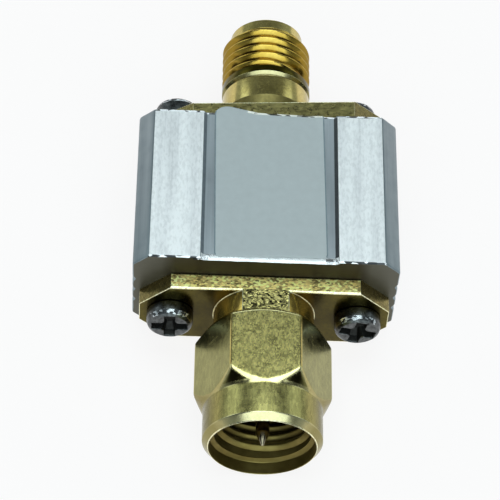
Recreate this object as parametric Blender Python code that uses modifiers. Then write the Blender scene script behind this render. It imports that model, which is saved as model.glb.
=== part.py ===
# Inline surface acoustic wave filter: an aluminium housing with a coaxial plug at one end and a
# coaxial jack at the other. The connectors' axis runs along Y, the plug at -Y, the label faces up.
import math

import bmesh
import bpy

MM = 0.001

# housing
HOUSING_WIDTH = 17.9 * MM
HOUSING_LENGTH = 12.4 * MM
HOUSING_ABOVE_AXIS = 4.95 * MM
HOUSING_BELOW_AXIS = 3.05 * MM
HOUSING_CHAMFER = 1.05 * MM
SERRATION_DEPTH = 0.2 * MM
SERRATION_HALF_WIDTH = 0.28 * MM
SERRATION_HEIGHTS = (2.17 * MM, 0.94 * MM, -0.29 * MM)
RECESS_WIDTH = 9.2 * MM
RECESS_DEPTH = 0.2 * MM
RECESS_OFFSET = 0.15 * MM
DEBURR = 0.06 * MM
CAVITY_TOP = 2.55 * MM
CAVITY_FLOOR = 2.35 * MM
SLOT_DEPTH = 0.45 * MM

# label
LABEL_MARGIN = 0.6 * MM
LABEL_END_GAP = 0.15 * MM
LABEL_WIDTH = RECESS_WIDTH - 2 * (RECESS_DEPTH + LABEL_MARGIN)
LABEL_LENGTH = HOUSING_LENGTH - 2 * LABEL_END_GAP
LABEL_THICKNESS = 0.1 * MM
LABEL_TURN = math.radians(0.9)
LABEL_CORNER = 0.25 * MM

# flanges of both connectors; the jack's flange is turned a little and has one longer cut corner
SCREW_SPACING = 12.7 * MM
FLANGE_END = 2.1 * MM
FLANGE_WIDTH = SCREW_SPACING + 2 * FLANGE_END
FLANGE_HEIGHT = 6.1 * MM
FLANGE_CHAMFER = 2.1 * MM
PLUG_FLANGE_THICKNESS = 1.2 * MM
JACK_FLANGE_THICKNESS = 2.4 * MM
JACK_FLANGE_CUT = 3.45 * MM
JACK_FLANGE_TURN = math.radians(-4.2)

# screws
SCREW_RADIUS = 0.78 * MM
SCREW_HEAD_RADIUS = 1.58 * MM
SCREW_HEAD_HEIGHT = 1.15 * MM
SCREW_HEAD_ROUNDING = 0.3 * MM
PLUG_SCREW_LENGTH = 4.0 * MM
JACK_SCREW_LENGTH = 5.0 * MM
CROSS_ARM_LENGTH = 1.18 * MM
CROSS_ARM_HALF_WIDTH = 0.37 * MM
CROSS_DEPTH = 0.75 * MM
CROSS_TAPER = 0.5
TAPPED_HOLE_RADIUS = 0.8 * MM
TAPPED_HOLE_DEPTH = 3.4 * MM
CLEARANCE_HOLE_RADIUS = 0.9 * MM
SCREW_TURNS = (0.0, 12.0, 31.0, 58.0)

# plug, distances measured outwards from the housing's end face
PLUG_BOSS_RADIUS = 3.5 * MM
PLUG_BOSS_END = 2.9 * MM
PLUG_NECK_RADIUS = 2.9 * MM
PLUG_NECK_END = 4.85 * MM
RING_GROOVE_START = 3.5 * MM
RING_GROOVE_WIDTH = 0.6 * MM
PLUG_GROOVE_RADIUS = 2.5 * MM
OUTER_CONDUCTOR_RADIUS = 2.3 * MM
PLUG_REFERENCE = 8.3 * MM
INSULATOR_BORE_RADIUS = 2.05 * MM

# coupling nut
NUT_ACROSS_FLATS = 8.0 * MM
NUT_START = 3.1 * MM
NUT_HEX_END = 8.9 * MM
NUT_END = 11.5 * MM
NUT_CHAMFER = 1.12 * MM
NUT_COLLAR_RADIUS = 3.97 * MM
NUT_LIP_END = 4.6 * MM
NUT_RELIEF_RADIUS = 3.25 * MM
NUT_THREAD_START = 5.9 * MM
NUT_COUNTERBORE_DEPTH = 1.0 * MM
NUT_COUNTERBORE_RADIUS = 3.55 * MM
THREAD_PITCH = 0.7056 * MM
THREAD_RADIUS = 3.175 * MM
THREAD_ROOT_RADIUS = 2.78 * MM
NUT_THREAD_CREST_RADIUS = 2.86 * MM
NUT_THREAD_ROOT_RADIUS = 3.2 * MM

# jack, distances measured outwards from the housing's end face
JACK_ROOT_RADIUS = 2.8 * MM
JACK_ROOT_LENGTH = 0.65 * MM
JACK_BARREL_RADIUS = 3.13 * MM
JACK_BARREL_END = 4.83 * MM
JACK_GROOVE_RADIUS = 2.92 * MM
JACK_GROOVE_END = 4.95 * MM
JACK_LAND_START = 5.15 * MM
JACK_THREAD_RIDGES = 6
JACK_THREAD_END = 9.54 * MM
JACK_PILOT_RADIUS = 2.62 * MM
JACK_END = 10.45 * MM
JACK_BORE_RADIUS = 2.3 * MM
JACK_BORE_DEPTH = 1.93 * MM
EDGE_BREAK = 0.12 * MM

# centre conductors
CONDUCTOR_RADIUS = 0.635 * MM
PIN_RADIUS = 0.457 * MM
PIN_POINT_LENGTH = 0.9 * MM
PIN_END = 11.3 * MM
CONDUCTOR_INSIDE = 2.2 * MM
SOCKET_BORE_RADIUS = 0.47 * MM
SOCKET_BORE_DEPTH = 3.0 * MM
SOCKET_SLOT_WIDTH = 0.16 * MM
SOCKET_SLOT_DEPTH = 2.2 * MM

# snap ring and gasket
RING_INNER_RADIUS = 2.55 * MM
RING_OUTER_RADIUS = 3.1 * MM
RING_WIDTH = 0.5 * MM
RING_GAP = 0.7 * MM
GASKET_OUTER_RADIUS = 3.1 * MM
GASKET_WIDTH = 0.8 * MM

# circuit board and its parts; the board ends a wall's width short of the tapped holes
SCREW_WALL = 0.7 * MM
BOARD_WIDTH = SCREW_SPACING - 2 * (TAPPED_HOLE_RADIUS + SCREW_WALL)
CAVITY_WIDTH = BOARD_WIDTH - 2 * SLOT_DEPTH
BOARD_THICKNESS = 0.8 * MM
BOARD_END_GAP = 0.3 * MM
FOIL_THICKNESS = 0.035 * MM
TRACE_WIDTH = 1.9 * MM
TRACE_GAP = 0.3 * MM
FOIL_EDGE = 0.2 * MM
PACKAGE_SIZE = 3.0 * MM
PACKAGE_HEIGHT = 0.95 * MM
PACKAGE_WALL = 0.4 * MM
PACKAGE_FLOOR = 0.3 * MM
PACKAGE_PAD = 0.7 * MM
LID_SIZE = 2.8 * MM
LID_THICKNESS = 0.12 * MM
CRYSTAL_WIDTH = 1.3 * MM
CRYSTAL_LENGTH = 1.7 * MM
CRYSTAL_THICKNESS = 0.3 * MM
BOND_WIRE_RADIUS = 0.02 * MM
CHIP_LENGTH = 1.0 * MM
CHIP_WIDTH = 0.5 * MM
COIL_HEIGHT = 0.5 * MM
CAPACITOR_HEIGHT = 0.45 * MM
SOLDER_WIDTH = 1.9 * MM
SOLDER_LENGTH = 1.4 * MM
SOLDER_HEIGHT = 1.5 * MM

# clearances
FIT = 0.01 * MM
RUNNING_FIT = 0.05 * MM
SLOT_FIT = 0.05 * MM

# place in the frame: lowest point at height 0, the whole length centred on Y
AXIS_HEIGHT = NUT_ACROSS_FLATS / 2
TOTAL_LENGTH = NUT_END + HOUSING_LENGTH + JACK_END
PLUG_FACE_Y = NUT_END - TOTAL_LENGTH / 2
JACK_FACE_Y = PLUG_FACE_Y + HOUSING_LENGTH
MIDDLE_Y = PLUG_FACE_Y + HOUSING_LENGTH / 2
FOIL_TOP = AXIS_HEIGHT - CONDUCTOR_RADIUS
BOARD_TOP = FOIL_TOP - FOIL_THICKNESS
ROUND_STEPS = 48
SMALL_STEPS = 24


def clear_scene():
    for item in list(bpy.data.objects):
        bpy.data.objects.remove(item, do_unlink=True)


def material(name, colour, roughness, metallic):
    made = bpy.data.materials.new(name)
    made.use_nodes = True
    shader = made.node_tree.nodes["Principled BSDF"]
    shader.inputs["Base Color"].default_value = (*colour, 1.0)
    shader.inputs["Roughness"].default_value = roughness
    shader.inputs["Metallic"].default_value = metallic
    made.diffuse_color = (*colour, 1.0)
    return made


def add_object(name, data, slot):
    item = bpy.data.objects.new(name, data)
    if slot is None:
        CUTTERS.objects.link(item)
        item.hide_render = True
        item.display_type = "WIRE"
    else:
        PIECES.objects.link(item)
        data.materials.append(slot)
    return item


def combine(item, operation, other):
    step = item.modifiers.new(f"{operation.lower()}_{other.name}", "BOOLEAN")
    step.operation = operation
    step.solver = "EXACT"
    step.object = other


def bevel(item, width, degrees, segments=1):
    step = item.modifiers.new("bevel", "BEVEL")
    step.width = width
    step.segments = segments
    step.limit_method = "ANGLE"
    step.angle_limit = math.radians(degrees)


def flat_face(name, points, facing):
    """A mesh of one flat face through the points, turned to the given side."""
    mesh = bpy.data.meshes.new(name)
    shape = bmesh.new()
    corners = [shape.verts.new(point) for point in points]
    face = shape.faces.new(corners)
    face.normal_update()
    if face.normal.dot(facing) < 0:
        face.normal_flip()
    shape.to_mesh(mesh)
    shape.free()
    return mesh


def thicken(item, thickness):
    step = item.modifiers.new("thickness", "SOLIDIFY")
    step.thickness = thickness
    step.offset = -1.0


def upright_plate(name, outline, start, end, slot):
    """A plate whose outline lies across the connectors' axis, from start to end along Y."""
    points = [(x, start, z) for x, z in outline]
    item = add_object(name, flat_face(name, points, (0.0, -1.0, 0.0)), slot)
    item.location = (0.0, 0.0, AXIS_HEIGHT)
    thicken(item, end - start)
    return item


def level_plate(name, outline, top, thickness, slot, place=(0.0, 0.0)):
    """A plate whose outline lies level, its upper face at the given height."""
    points = [(x, y, 0.0) for x, y in outline]
    item = add_object(name, flat_face(name, points, (0.0, 0.0, 1.0)), slot)
    item.location = (place[0], place[1], top)
    thicken(item, thickness)
    return item


def rectangle(width, length):
    x = width / 2
    y = length / 2
    return [(-x, -y), (x, -y), (x, y), (-x, y)]


def block(name, width, length, bottom, height, slot, place=(0.0, 0.0)):
    return level_plate(name, rectangle(width, length), bottom + height, height, slot, place)


def turned(name, profile, base, side, slot, centre=0.0, steps=ROUND_STEPS):
    """A turned piece: the profile gives radius and distance from base, outwards along side."""
    line = [(radius, base + side * distance) for radius, distance in profile]
    area = 0.0
    for (r1, y1), (r2, y2) in zip(line, line[1:] + line[:1]):
        area += r1 * y2 - r2 * y1
    if area > 0:
        line.reverse()
    count = len(line)
    edges = [(i, i + 1) for i in range(count - 1)]
    if line[0][0] > 0.0:
        edges.append((count - 1, 0))
    mesh = bpy.data.meshes.new(name)
    mesh.from_pydata([(radius, y, 0.0) for radius, y in line], edges, [])
    item = add_object(name, mesh, slot)
    item.location = (centre, 0.0, AXIS_HEIGHT)
    step = item.modifiers.new("turn", "SCREW")
    step.axis = "Y"
    step.steps = steps
    step.render_steps = steps
    step.use_merge_vertices = True
    step.merge_threshold = 1e-7
    step.use_smooth_shade = False
    return item


def flange_outline(left_cut=FLANGE_CHAMFER):
    half_width = FLANGE_WIDTH / 2
    half_height = FLANGE_HEIGHT / 2
    cut = FLANGE_CHAMFER
    return [
        (-half_width, cut - half_height),
        (cut - half_width, -half_height),
        (half_width - cut, -half_height),
        (half_width, cut - half_height),
        (half_width, half_height - cut),
        (half_width - cut, half_height),
        (left_cut - half_width, half_height),
        (-half_width, half_height - cut),
    ]


def housing_outline():
    half_width = HOUSING_WIDTH / 2
    flat = half_width - HOUSING_CHAMFER
    top = HOUSING_ABOVE_AXIS
    bottom = -HOUSING_BELOW_AXIS
    right_side = [(half_width, bottom + HOUSING_CHAMFER)]
    for height in reversed(SERRATION_HEIGHTS):
        right_side.append((half_width, height - SERRATION_HALF_WIDTH))
        right_side.append((half_width - SERRATION_DEPTH, height))
        right_side.append((half_width, height + SERRATION_HALF_WIDTH))
    right_side.append((half_width, top - HOUSING_CHAMFER))
    left_side = [(-x, z) for x, z in reversed(right_side)]
    recess_right = RECESS_OFFSET + RECESS_WIDTH / 2
    recess_left = RECESS_OFFSET - RECESS_WIDTH / 2
    recess = [
        (recess_right, top),
        (recess_right - RECESS_DEPTH, top - RECESS_DEPTH),
        (recess_left + RECESS_DEPTH, top - RECESS_DEPTH),
        (recess_left, top),
    ]
    return [(-flat, bottom), (flat, bottom), *right_side, (flat, top), *recess, (-flat, top), *left_side]


def cavity_outline():
    half = CAVITY_WIDTH / 2
    slot = BOARD_WIDTH / 2 + SLOT_FIT
    slot_top = BOARD_TOP - AXIS_HEIGHT + SLOT_FIT
    slot_bottom = BOARD_TOP - AXIS_HEIGHT - BOARD_THICKNESS
    right = [
        (half, -CAVITY_FLOOR),
        (half, slot_bottom),
        (slot, slot_bottom),
        (slot, slot_top),
        (half, slot_top),
        (half, CAVITY_TOP),
    ]
    return right + [(-x, z) for x, z in reversed(right)]


def make_housing(slot):
    item = upright_plate("housing", housing_outline(), PLUG_FACE_Y, JACK_FACE_Y, slot)
    bevel(item, DEBURR, 80.0)
    beyond = 1 * MM
    cavity = upright_plate("housing_cavity", cavity_outline(), PLUG_FACE_Y - beyond, JACK_FACE_Y + beyond, None)
    combine(item, "DIFFERENCE", cavity)
    hole = [
        (0.0, beyond),
        (TAPPED_HOLE_RADIUS, beyond),
        (TAPPED_HOLE_RADIUS, -TAPPED_HOLE_DEPTH),
        (0.0, -TAPPED_HOLE_DEPTH - TAPPED_HOLE_RADIUS / 2),
    ]
    for number, (x, base, side) in enumerate(screw_places(), 1):
        cutter = turned(f"tapped_hole_{number}", hole, base, side, None, x, SMALL_STEPS)
        combine(item, "DIFFERENCE", cutter)
    return item


def screw_places():
    half = SCREW_SPACING / 2
    return [(-half, PLUG_FACE_Y, -1), (half, PLUG_FACE_Y, -1), (-half, JACK_FACE_Y, 1), (half, JACK_FACE_Y, 1)]


def cut_screw_holes(item, tag, base, side, thickness):
    beyond = 1 * MM
    radius = CLEARANCE_HOLE_RADIUS
    hole = [(0.0, -beyond), (radius, -beyond), (radius, thickness + beyond), (0.0, thickness + beyond)]
    for name, x in (("left", -SCREW_SPACING / 2), ("right", SCREW_SPACING / 2)):
        cutter = turned(f"{tag}_hole_{name}", hole, base, side, None, x, SMALL_STEPS)
        combine(item, "DIFFERENCE", cutter)


def make_label(slot):
    cut = LABEL_CORNER
    half_width = LABEL_WIDTH / 2
    half_length = LABEL_LENGTH / 2
    outline = [
        (-half_width, -half_length + cut),
        (-half_width + cut, -half_length),
        (half_width - cut, -half_length),
        (half_width, -half_length + cut),
        (half_width, half_length - cut),
        (half_width - cut, half_length),
        (-half_width + cut, half_length),
        (-half_width, half_length - cut),
    ]
    top = AXIS_HEIGHT + HOUSING_ABOVE_AXIS - RECESS_DEPTH + LABEL_THICKNESS
    item = level_plate("label", outline, top, LABEL_THICKNESS, slot, (RECESS_OFFSET, MIDDLE_Y))
    item.rotation_euler = (0.0, 0.0, LABEL_TURN)
    return item


def make_plug_body(slot):
    blank = FLANGE_WIDTH / 2 + FIT
    edge = EDGE_BREAK
    groove_end = RING_GROOVE_START + RING_GROOVE_WIDTH
    profile = [
        (INSULATOR_BORE_RADIUS, 0.0),
        (INSULATOR_BORE_RADIUS, PLUG_REFERENCE),
        (OUTER_CONDUCTOR_RADIUS - edge / 2, PLUG_REFERENCE),
        (OUTER_CONDUCTOR_RADIUS, PLUG_REFERENCE - edge),
        (OUTER_CONDUCTOR_RADIUS, PLUG_NECK_END),
        (PLUG_NECK_RADIUS - edge, PLUG_NECK_END),
        (PLUG_NECK_RADIUS, PLUG_NECK_END - edge),
        (PLUG_NECK_RADIUS, groove_end),
        (PLUG_GROOVE_RADIUS, groove_end),
        (PLUG_GROOVE_RADIUS, RING_GROOVE_START),
        (PLUG_NECK_RADIUS, RING_GROOVE_START),
        (PLUG_NECK_RADIUS, PLUG_BOSS_END),
        (PLUG_BOSS_RADIUS - edge, PLUG_BOSS_END),
        (PLUG_BOSS_RADIUS, PLUG_BOSS_END - edge),
        (PLUG_BOSS_RADIUS, PLUG_FLANGE_THICKNESS + edge),
        (PLUG_BOSS_RADIUS + edge, PLUG_FLANGE_THICKNESS),
        (blank, PLUG_FLANGE_THICKNESS),
        (blank, 0.0),
    ]
    item = turned("plug_body", profile, PLUG_FACE_Y, -1, slot)
    beyond = 1 * MM
    stock = upright_plate("plug_milling", flange_outline(), PLUG_FACE_Y - NUT_END, PLUG_FACE_Y + beyond, None)
    combine(item, "INTERSECT", stock)
    cut_screw_holes(item, "plug", PLUG_FACE_Y, -1, PLUG_FLANGE_THICKNESS)
    return item


def make_coupling_nut(slot):
    corner = NUT_ACROSS_FLATS / math.sqrt(3.0)
    inscribed = NUT_ACROSS_FLATS / 2
    step_down = corner - inscribed
    thread_end = NUT_END - NUT_COUNTERBORE_DEPTH
    groove_end = RING_GROOVE_START + RING_GROOVE_WIDTH
    ring_groove = RING_OUTER_RADIUS + RUNNING_FIT
    lip = PLUG_NECK_RADIUS + RUNNING_FIT
    edge = EDGE_BREAK
    outside = [
        (inscribed - edge / 2, NUT_START),
        (corner + FIT, NUT_START + step_down * 0.7),
        (corner + FIT, NUT_HEX_END - NUT_CHAMFER),
        (NUT_COLLAR_RADIUS, NUT_HEX_END),
        (NUT_COLLAR_RADIUS, NUT_END - 3 * edge),
        (NUT_COLLAR_RADIUS - 2 * edge, NUT_END),
    ]
    inside = [
        (NUT_COUNTERBORE_RADIUS, NUT_END),
        (NUT_COUNTERBORE_RADIUS - edge, thread_end + 2 * edge),
        (NUT_THREAD_ROOT_RADIUS, thread_end),
    ]
    turns = int((thread_end - NUT_THREAD_START) / THREAD_PITCH)
    for turn in range(turns):
        start = thread_end - turn * THREAD_PITCH
        inside.append((NUT_THREAD_CREST_RADIUS, start - THREAD_PITCH * 0.42))
        inside.append((NUT_THREAD_CREST_RADIUS, start - THREAD_PITCH * 0.58))
        inside.append((NUT_THREAD_ROOT_RADIUS, start - THREAD_PITCH))
    inside += [
        (NUT_RELIEF_RADIUS, thread_end - turns * THREAD_PITCH - edge),
        (NUT_RELIEF_RADIUS, NUT_LIP_END),
        (lip, NUT_LIP_END),
        (lip, groove_end),
        (ring_groove, groove_end),
        (ring_groove, RING_GROOVE_START),
        (lip, RING_GROOVE_START),
        (lip, NUT_START),
    ]
    item = turned("coupling_nut", outside + inside, PLUG_FACE_Y, -1, slot)
    beyond = 1 * MM
    angles = [math.radians(60 * side) for side in range(6)]
    hexagon = [(corner * math.cos(angle), corner * math.sin(angle)) for angle in angles]
    front = PLUG_FACE_Y - NUT_END - beyond
    bar = upright_plate("nut_bar", hexagon, front, PLUG_FACE_Y - NUT_START + beyond, None)
    combine(item, "INTERSECT", bar)
    return item


def make_snap_ring(slot):
    half_gap = RING_GAP / 2 / RING_INNER_RADIUS
    count = 40
    angles = [half_gap + (2 * math.pi - 2 * half_gap) * i / count for i in range(count + 1)]
    outer = [(RING_OUTER_RADIUS * math.cos(a), RING_OUTER_RADIUS * math.sin(a)) for a in angles]
    inner = [(RING_INNER_RADIUS * math.cos(a), RING_INNER_RADIUS * math.sin(a)) for a in reversed(angles)]
    start = PLUG_FACE_Y - RING_GROOVE_START - (RING_GROOVE_WIDTH + RING_WIDTH) / 2
    return upright_plate("snap_ring", outer + inner, start, start + RING_WIDTH, slot)


def make_gasket(slot):
    inner = OUTER_CONDUCTOR_RADIUS + FIT
    start = PLUG_NECK_END + FIT
    edge = EDGE_BREAK
    profile = [
        (inner, start),
        (inner, start + GASKET_WIDTH),
        (GASKET_OUTER_RADIUS - edge, start + GASKET_WIDTH),
        (GASKET_OUTER_RADIUS, start + GASKET_WIDTH - edge),
        (GASKET_OUTER_RADIUS, start + edge),
        (GASKET_OUTER_RADIUS - edge, start),
    ]
    return turned("gasket", profile, PLUG_FACE_Y, -1, slot)


def make_insulator(name, base, side, length, slot):
    inner = CONDUCTOR_RADIUS + FIT
    outer = INSULATOR_BORE_RADIUS - FIT
    profile = [(inner, 0.0), (outer, 0.0), (outer, length), (inner, length)]
    return turned(name, profile, base, side, slot, steps=48)


def make_plug_pin(slot):
    shoulder = PLUG_REFERENCE - EDGE_BREAK
    profile = [
        (0.0, PIN_END),
        (0.06 * MM, PIN_END - 0.03 * MM),
        (PIN_RADIUS, PIN_END - PIN_POINT_LENGTH),
        (PIN_RADIUS, shoulder + EDGE_BREAK / 2),
        (CONDUCTOR_RADIUS, shoulder),
        (CONDUCTOR_RADIUS, -CONDUCTOR_INSIDE),
        (0.0, -CONDUCTOR_INSIDE),
    ]
    return turned("plug_pin", profile, PLUG_FACE_Y, -1, slot, steps=32)


def make_jack_body(slot):
    blank = FLANGE_WIDTH / 2 + FIT
    edge = EDGE_BREAK
    reference = JACK_END - JACK_BORE_DEPTH
    inside = [
        (INSULATOR_BORE_RADIUS, 0.0),
        (INSULATOR_BORE_RADIUS, reference),
        (JACK_BORE_RADIUS, reference),
        (JACK_BORE_RADIUS, JACK_END - edge),
        (JACK_BORE_RADIUS + edge, JACK_END),
    ]
    outside = [
        (JACK_PILOT_RADIUS - edge, JACK_END),
        (JACK_PILOT_RADIUS, JACK_END - edge),
        (JACK_PILOT_RADIUS, JACK_THREAD_END),
    ]
    for ridge in range(JACK_THREAD_RIDGES):
        start = JACK_THREAD_END - ridge * THREAD_PITCH
        outside.append((THREAD_ROOT_RADIUS, start - THREAD_PITCH * 0.04))
        outside.append((THREAD_RADIUS, start - THREAD_PITCH * 0.44))
        if ridge < JACK_THREAD_RIDGES - 1:
            outside.append((THREAD_RADIUS, start - THREAD_PITCH * 0.56))
            outside.append((THREAD_ROOT_RADIUS, start - THREAD_PITCH * 0.96))
    outside += [
        (THREAD_RADIUS, JACK_LAND_START),
        (JACK_GROOVE_RADIUS, JACK_GROOVE_END),
        (JACK_GROOVE_RADIUS, JACK_BARREL_END),
        (JACK_BARREL_RADIUS - edge / 2, JACK_BARREL_END),
        (JACK_BARREL_RADIUS, JACK_BARREL_END - edge / 2),
        (JACK_BARREL_RADIUS, JACK_FLANGE_THICKNESS + JACK_ROOT_LENGTH),
        (JACK_ROOT_RADIUS, JACK_FLANGE_THICKNESS),
        (blank, JACK_FLANGE_THICKNESS),
        (blank, 0.0),
    ]
    item = turned("jack_body", inside + outside, JACK_FACE_Y, 1, slot)
    beyond = 1 * MM
    start = JACK_FACE_Y - beyond
    end = JACK_FACE_Y + JACK_FLANGE_THICKNESS + JACK_ROOT_LENGTH / 3
    around = upright_plate("jack_milling", rectangle(3 * blank, 3 * blank), start, end, None)
    kept = upright_plate("jack_milling_kept", flange_outline(JACK_FLANGE_CUT), start - beyond, end + beyond, None)
    kept.rotation_euler = (0.0, JACK_FLANGE_TURN, 0.0)
    combine(around, "DIFFERENCE", kept)
    combine(item, "DIFFERENCE", around)
    cut_screw_holes(item, "jack", JACK_FACE_Y, 1, JACK_FLANGE_THICKNESS)
    return item


def make_jack_contact(slot):
    end = JACK_END - JACK_BORE_DEPTH - 2 * FIT
    profile = [
        (0.0, -CONDUCTOR_INSIDE),
        (CONDUCTOR_RADIUS, -CONDUCTOR_INSIDE),
        (CONDUCTOR_RADIUS, end - EDGE_BREAK / 2),
        (CONDUCTOR_RADIUS - EDGE_BREAK / 2, end),
        (SOCKET_BORE_RADIUS, end),
        (SOCKET_BORE_RADIUS, end - SOCKET_BORE_DEPTH),
        (0.0, end - SOCKET_BORE_DEPTH - SOCKET_BORE_RADIUS / 2),
    ]
    item = turned("jack_contact", profile, JACK_FACE_Y, 1, slot, steps=32)
    beyond = 1 * MM
    start = JACK_FACE_Y + end - SOCKET_SLOT_DEPTH
    across = rectangle(4 * CONDUCTOR_RADIUS, SOCKET_SLOT_WIDTH)
    upright = [(z, x) for x, z in across]
    for name, outline in (("level", across), ("upright", upright)):
        cutter = upright_plate(f"socket_slot_{name}", outline, start, JACK_FACE_Y + end + beyond, None)
        combine(item, "DIFFERENCE", cutter)
    return item


def cross_outline(arm, half):
    return [
        (-half, -arm),
        (half, -arm),
        (half, -half),
        (arm, -half),
        (arm, half),
        (half, half),
        (half, arm),
        (-half, arm),
        (-half, half),
        (-arm, half),
        (-arm, -half),
        (-half, -half),
    ]


def make_cross_cutter(name, x, top, side, turn):
    """The tapered cross recess of a screw head, from above its face down to its bottom."""
    above = CROSS_DEPTH * 0.2
    deep = cross_outline(CROSS_ARM_LENGTH * CROSS_TAPER, CROSS_ARM_HALF_WIDTH * CROSS_TAPER)
    grown = 1 + (1 - CROSS_TAPER) * above / CROSS_DEPTH
    wide = cross_outline(CROSS_ARM_LENGTH * grown, CROSS_ARM_HALF_WIDTH * grown)
    mesh = bpy.data.meshes.new(name)
    shape = bmesh.new()
    lower = [shape.verts.new((u, -side * CROSS_DEPTH, v)) for u, v in deep]
    upper = [shape.verts.new((u, side * above, v)) for u, v in wide]
    shape.faces.new(lower)
    shape.faces.new(upper)
    for i in range(len(lower)):
        after = (i + 1) % len(lower)
        shape.faces.new((lower[i], lower[after], upper[after], upper[i]))
    bmesh.ops.recalc_face_normals(shape, faces=shape.faces[:])
    shape.to_mesh(mesh)
    shape.free()
    cutter = add_object(name, mesh, None)
    cutter.location = (x, top, AXIS_HEIGHT)
    cutter.rotation_euler = (0.0, math.radians(turn), 0.0)
    return cutter


def make_screw(number, place, slot):
    x, face, side = place
    flange = PLUG_FLANGE_THICKNESS if side < 0 else JACK_FLANGE_THICKNESS
    length = PLUG_SCREW_LENGTH if side < 0 else JACK_SCREW_LENGTH
    rounding = SCREW_HEAD_ROUNDING
    profile = [
        (0.0, -length),
        (SCREW_RADIUS - EDGE_BREAK, -length),
        (SCREW_RADIUS, -length + EDGE_BREAK),
        (SCREW_RADIUS, 0.0),
        (SCREW_HEAD_RADIUS, 0.0),
    ]
    for step in range(4):
        angle = math.radians(30 * step)
        out = SCREW_HEAD_RADIUS - rounding * (1 - math.cos(angle))
        profile.append((out, SCREW_HEAD_HEIGHT - rounding * (1 - math.sin(angle))))
    profile.append((0.0, SCREW_HEAD_HEIGHT))
    base = face + side * flange
    item = turned(f"screw_{number}", profile, base, side, slot, x, 28)
    top = base + side * SCREW_HEAD_HEIGHT
    cutter = make_cross_cutter(f"cross_{number}", x, top, side, SCREW_TURNS[number - 1])
    combine(item, "DIFFERENCE", cutter)
    return item


def board_length():
    return HOUSING_LENGTH - 2 * BOARD_END_GAP


def make_board(slot):
    bottom = BOARD_TOP - BOARD_THICKNESS
    return block("circuit_board", BOARD_WIDTH, board_length(), bottom, BOARD_THICKNESS, slot, (0.0, MIDDLE_Y))


def make_traces(slot):
    outer = board_length() / 2 - FOIL_EDGE
    inner = PACKAGE_SIZE / 2 - PACKAGE_PAD
    for name, side in (("input_trace", -1), ("output_trace", 1)):
        place = (0.0, MIDDLE_Y + side * (outer + inner) / 2)
        block(name, TRACE_WIDTH, outer - inner, BOARD_TOP, FOIL_THICKNESS, slot, place)


def make_ground_foil(slot):
    wide = CAVITY_WIDTH / 2 - FOIL_EDGE
    long = board_length() / 2 - FOIL_EDGE
    near = TRACE_WIDTH / 2 + TRACE_GAP
    bar = PACKAGE_SIZE / 2 - PACKAGE_PAD - TRACE_GAP
    outline = [
        (-wide, -long),
        (-near, -long),
        (-near, -bar),
        (near, -bar),
        (near, -long),
        (wide, -long),
        (wide, long),
        (near, long),
        (near, bar),
        (-near, bar),
        (-near, long),
        (-wide, long),
    ]
    return level_plate("ground_foil", outline, FOIL_TOP, FOIL_THICKNESS, slot, (0.0, MIDDLE_Y))


def make_package(ceramic, metal, crystal):
    place = (0.0, MIDDLE_Y)
    cup = block("package", PACKAGE_SIZE, PACKAGE_SIZE, FOIL_TOP, PACKAGE_HEIGHT, ceramic, place)
    inner = PACKAGE_SIZE - 2 * PACKAGE_WALL
    floor = FOIL_TOP + PACKAGE_FLOOR
    hollow = block("package_hollow", inner, inner, floor, PACKAGE_HEIGHT, None, place)
    combine(cup, "DIFFERENCE", hollow)
    block("crystal", CRYSTAL_WIDTH, CRYSTAL_LENGTH, floor, CRYSTAL_THICKNESS, crystal, place)
    block("lid", LID_SIZE, LID_SIZE, FOIL_TOP + PACKAGE_HEIGHT, LID_THICKNESS, metal, place)


def make_bond_wire(name, side, slot):
    """A wire looped from the crystal's upper face to the floor of the package."""
    floor = FOIL_TOP + PACKAGE_FLOOR
    top = floor + CRYSTAL_THICKNESS
    start = CRYSTAL_LENGTH / 2 - 3 * BOND_WIRE_RADIUS
    end = PACKAGE_SIZE / 2 - PACKAGE_WALL - 3 * BOND_WIRE_RADIUS
    rise = CRYSTAL_THICKNESS / 2
    route = [
        (start, top),
        (start + BOND_WIRE_RADIUS, top + rise * 0.7),
        ((start + end) / 2, top + rise),
        (end - BOND_WIRE_RADIUS, top + rise * 0.3),
        (end, floor),
    ]
    curve = bpy.data.curves.new(name, "CURVE")
    curve.dimensions = "3D"
    curve.bevel_depth = BOND_WIRE_RADIUS
    curve.bevel_resolution = 2
    curve.use_fill_caps = True
    line = curve.splines.new("POLY")
    line.points.add(len(route) - 1)
    for point, (y, z) in zip(line.points, route):
        point.co = (0.0, MIDDLE_Y + side * y, z, 1.0)
    return add_object(name, curve, slot)


def make_chips(coil, capacitor):
    middle = TRACE_WIDTH / 2 + TRACE_GAP / 2
    distance = (PACKAGE_SIZE / 2 + HOUSING_LENGTH / 2 - CONDUCTOR_INSIDE) / 2
    for number, side in ((1, -1), (2, 1)):
        y = MIDDLE_Y + side * distance
        block(f"coil_{number}", CHIP_LENGTH, CHIP_WIDTH, FOIL_TOP, COIL_HEIGHT, coil, (middle, y))
        block(f"capacitor_{number}", CHIP_LENGTH, CHIP_WIDTH, FOIL_TOP, CAPACITOR_HEIGHT, capacitor, (-middle, y))


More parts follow.
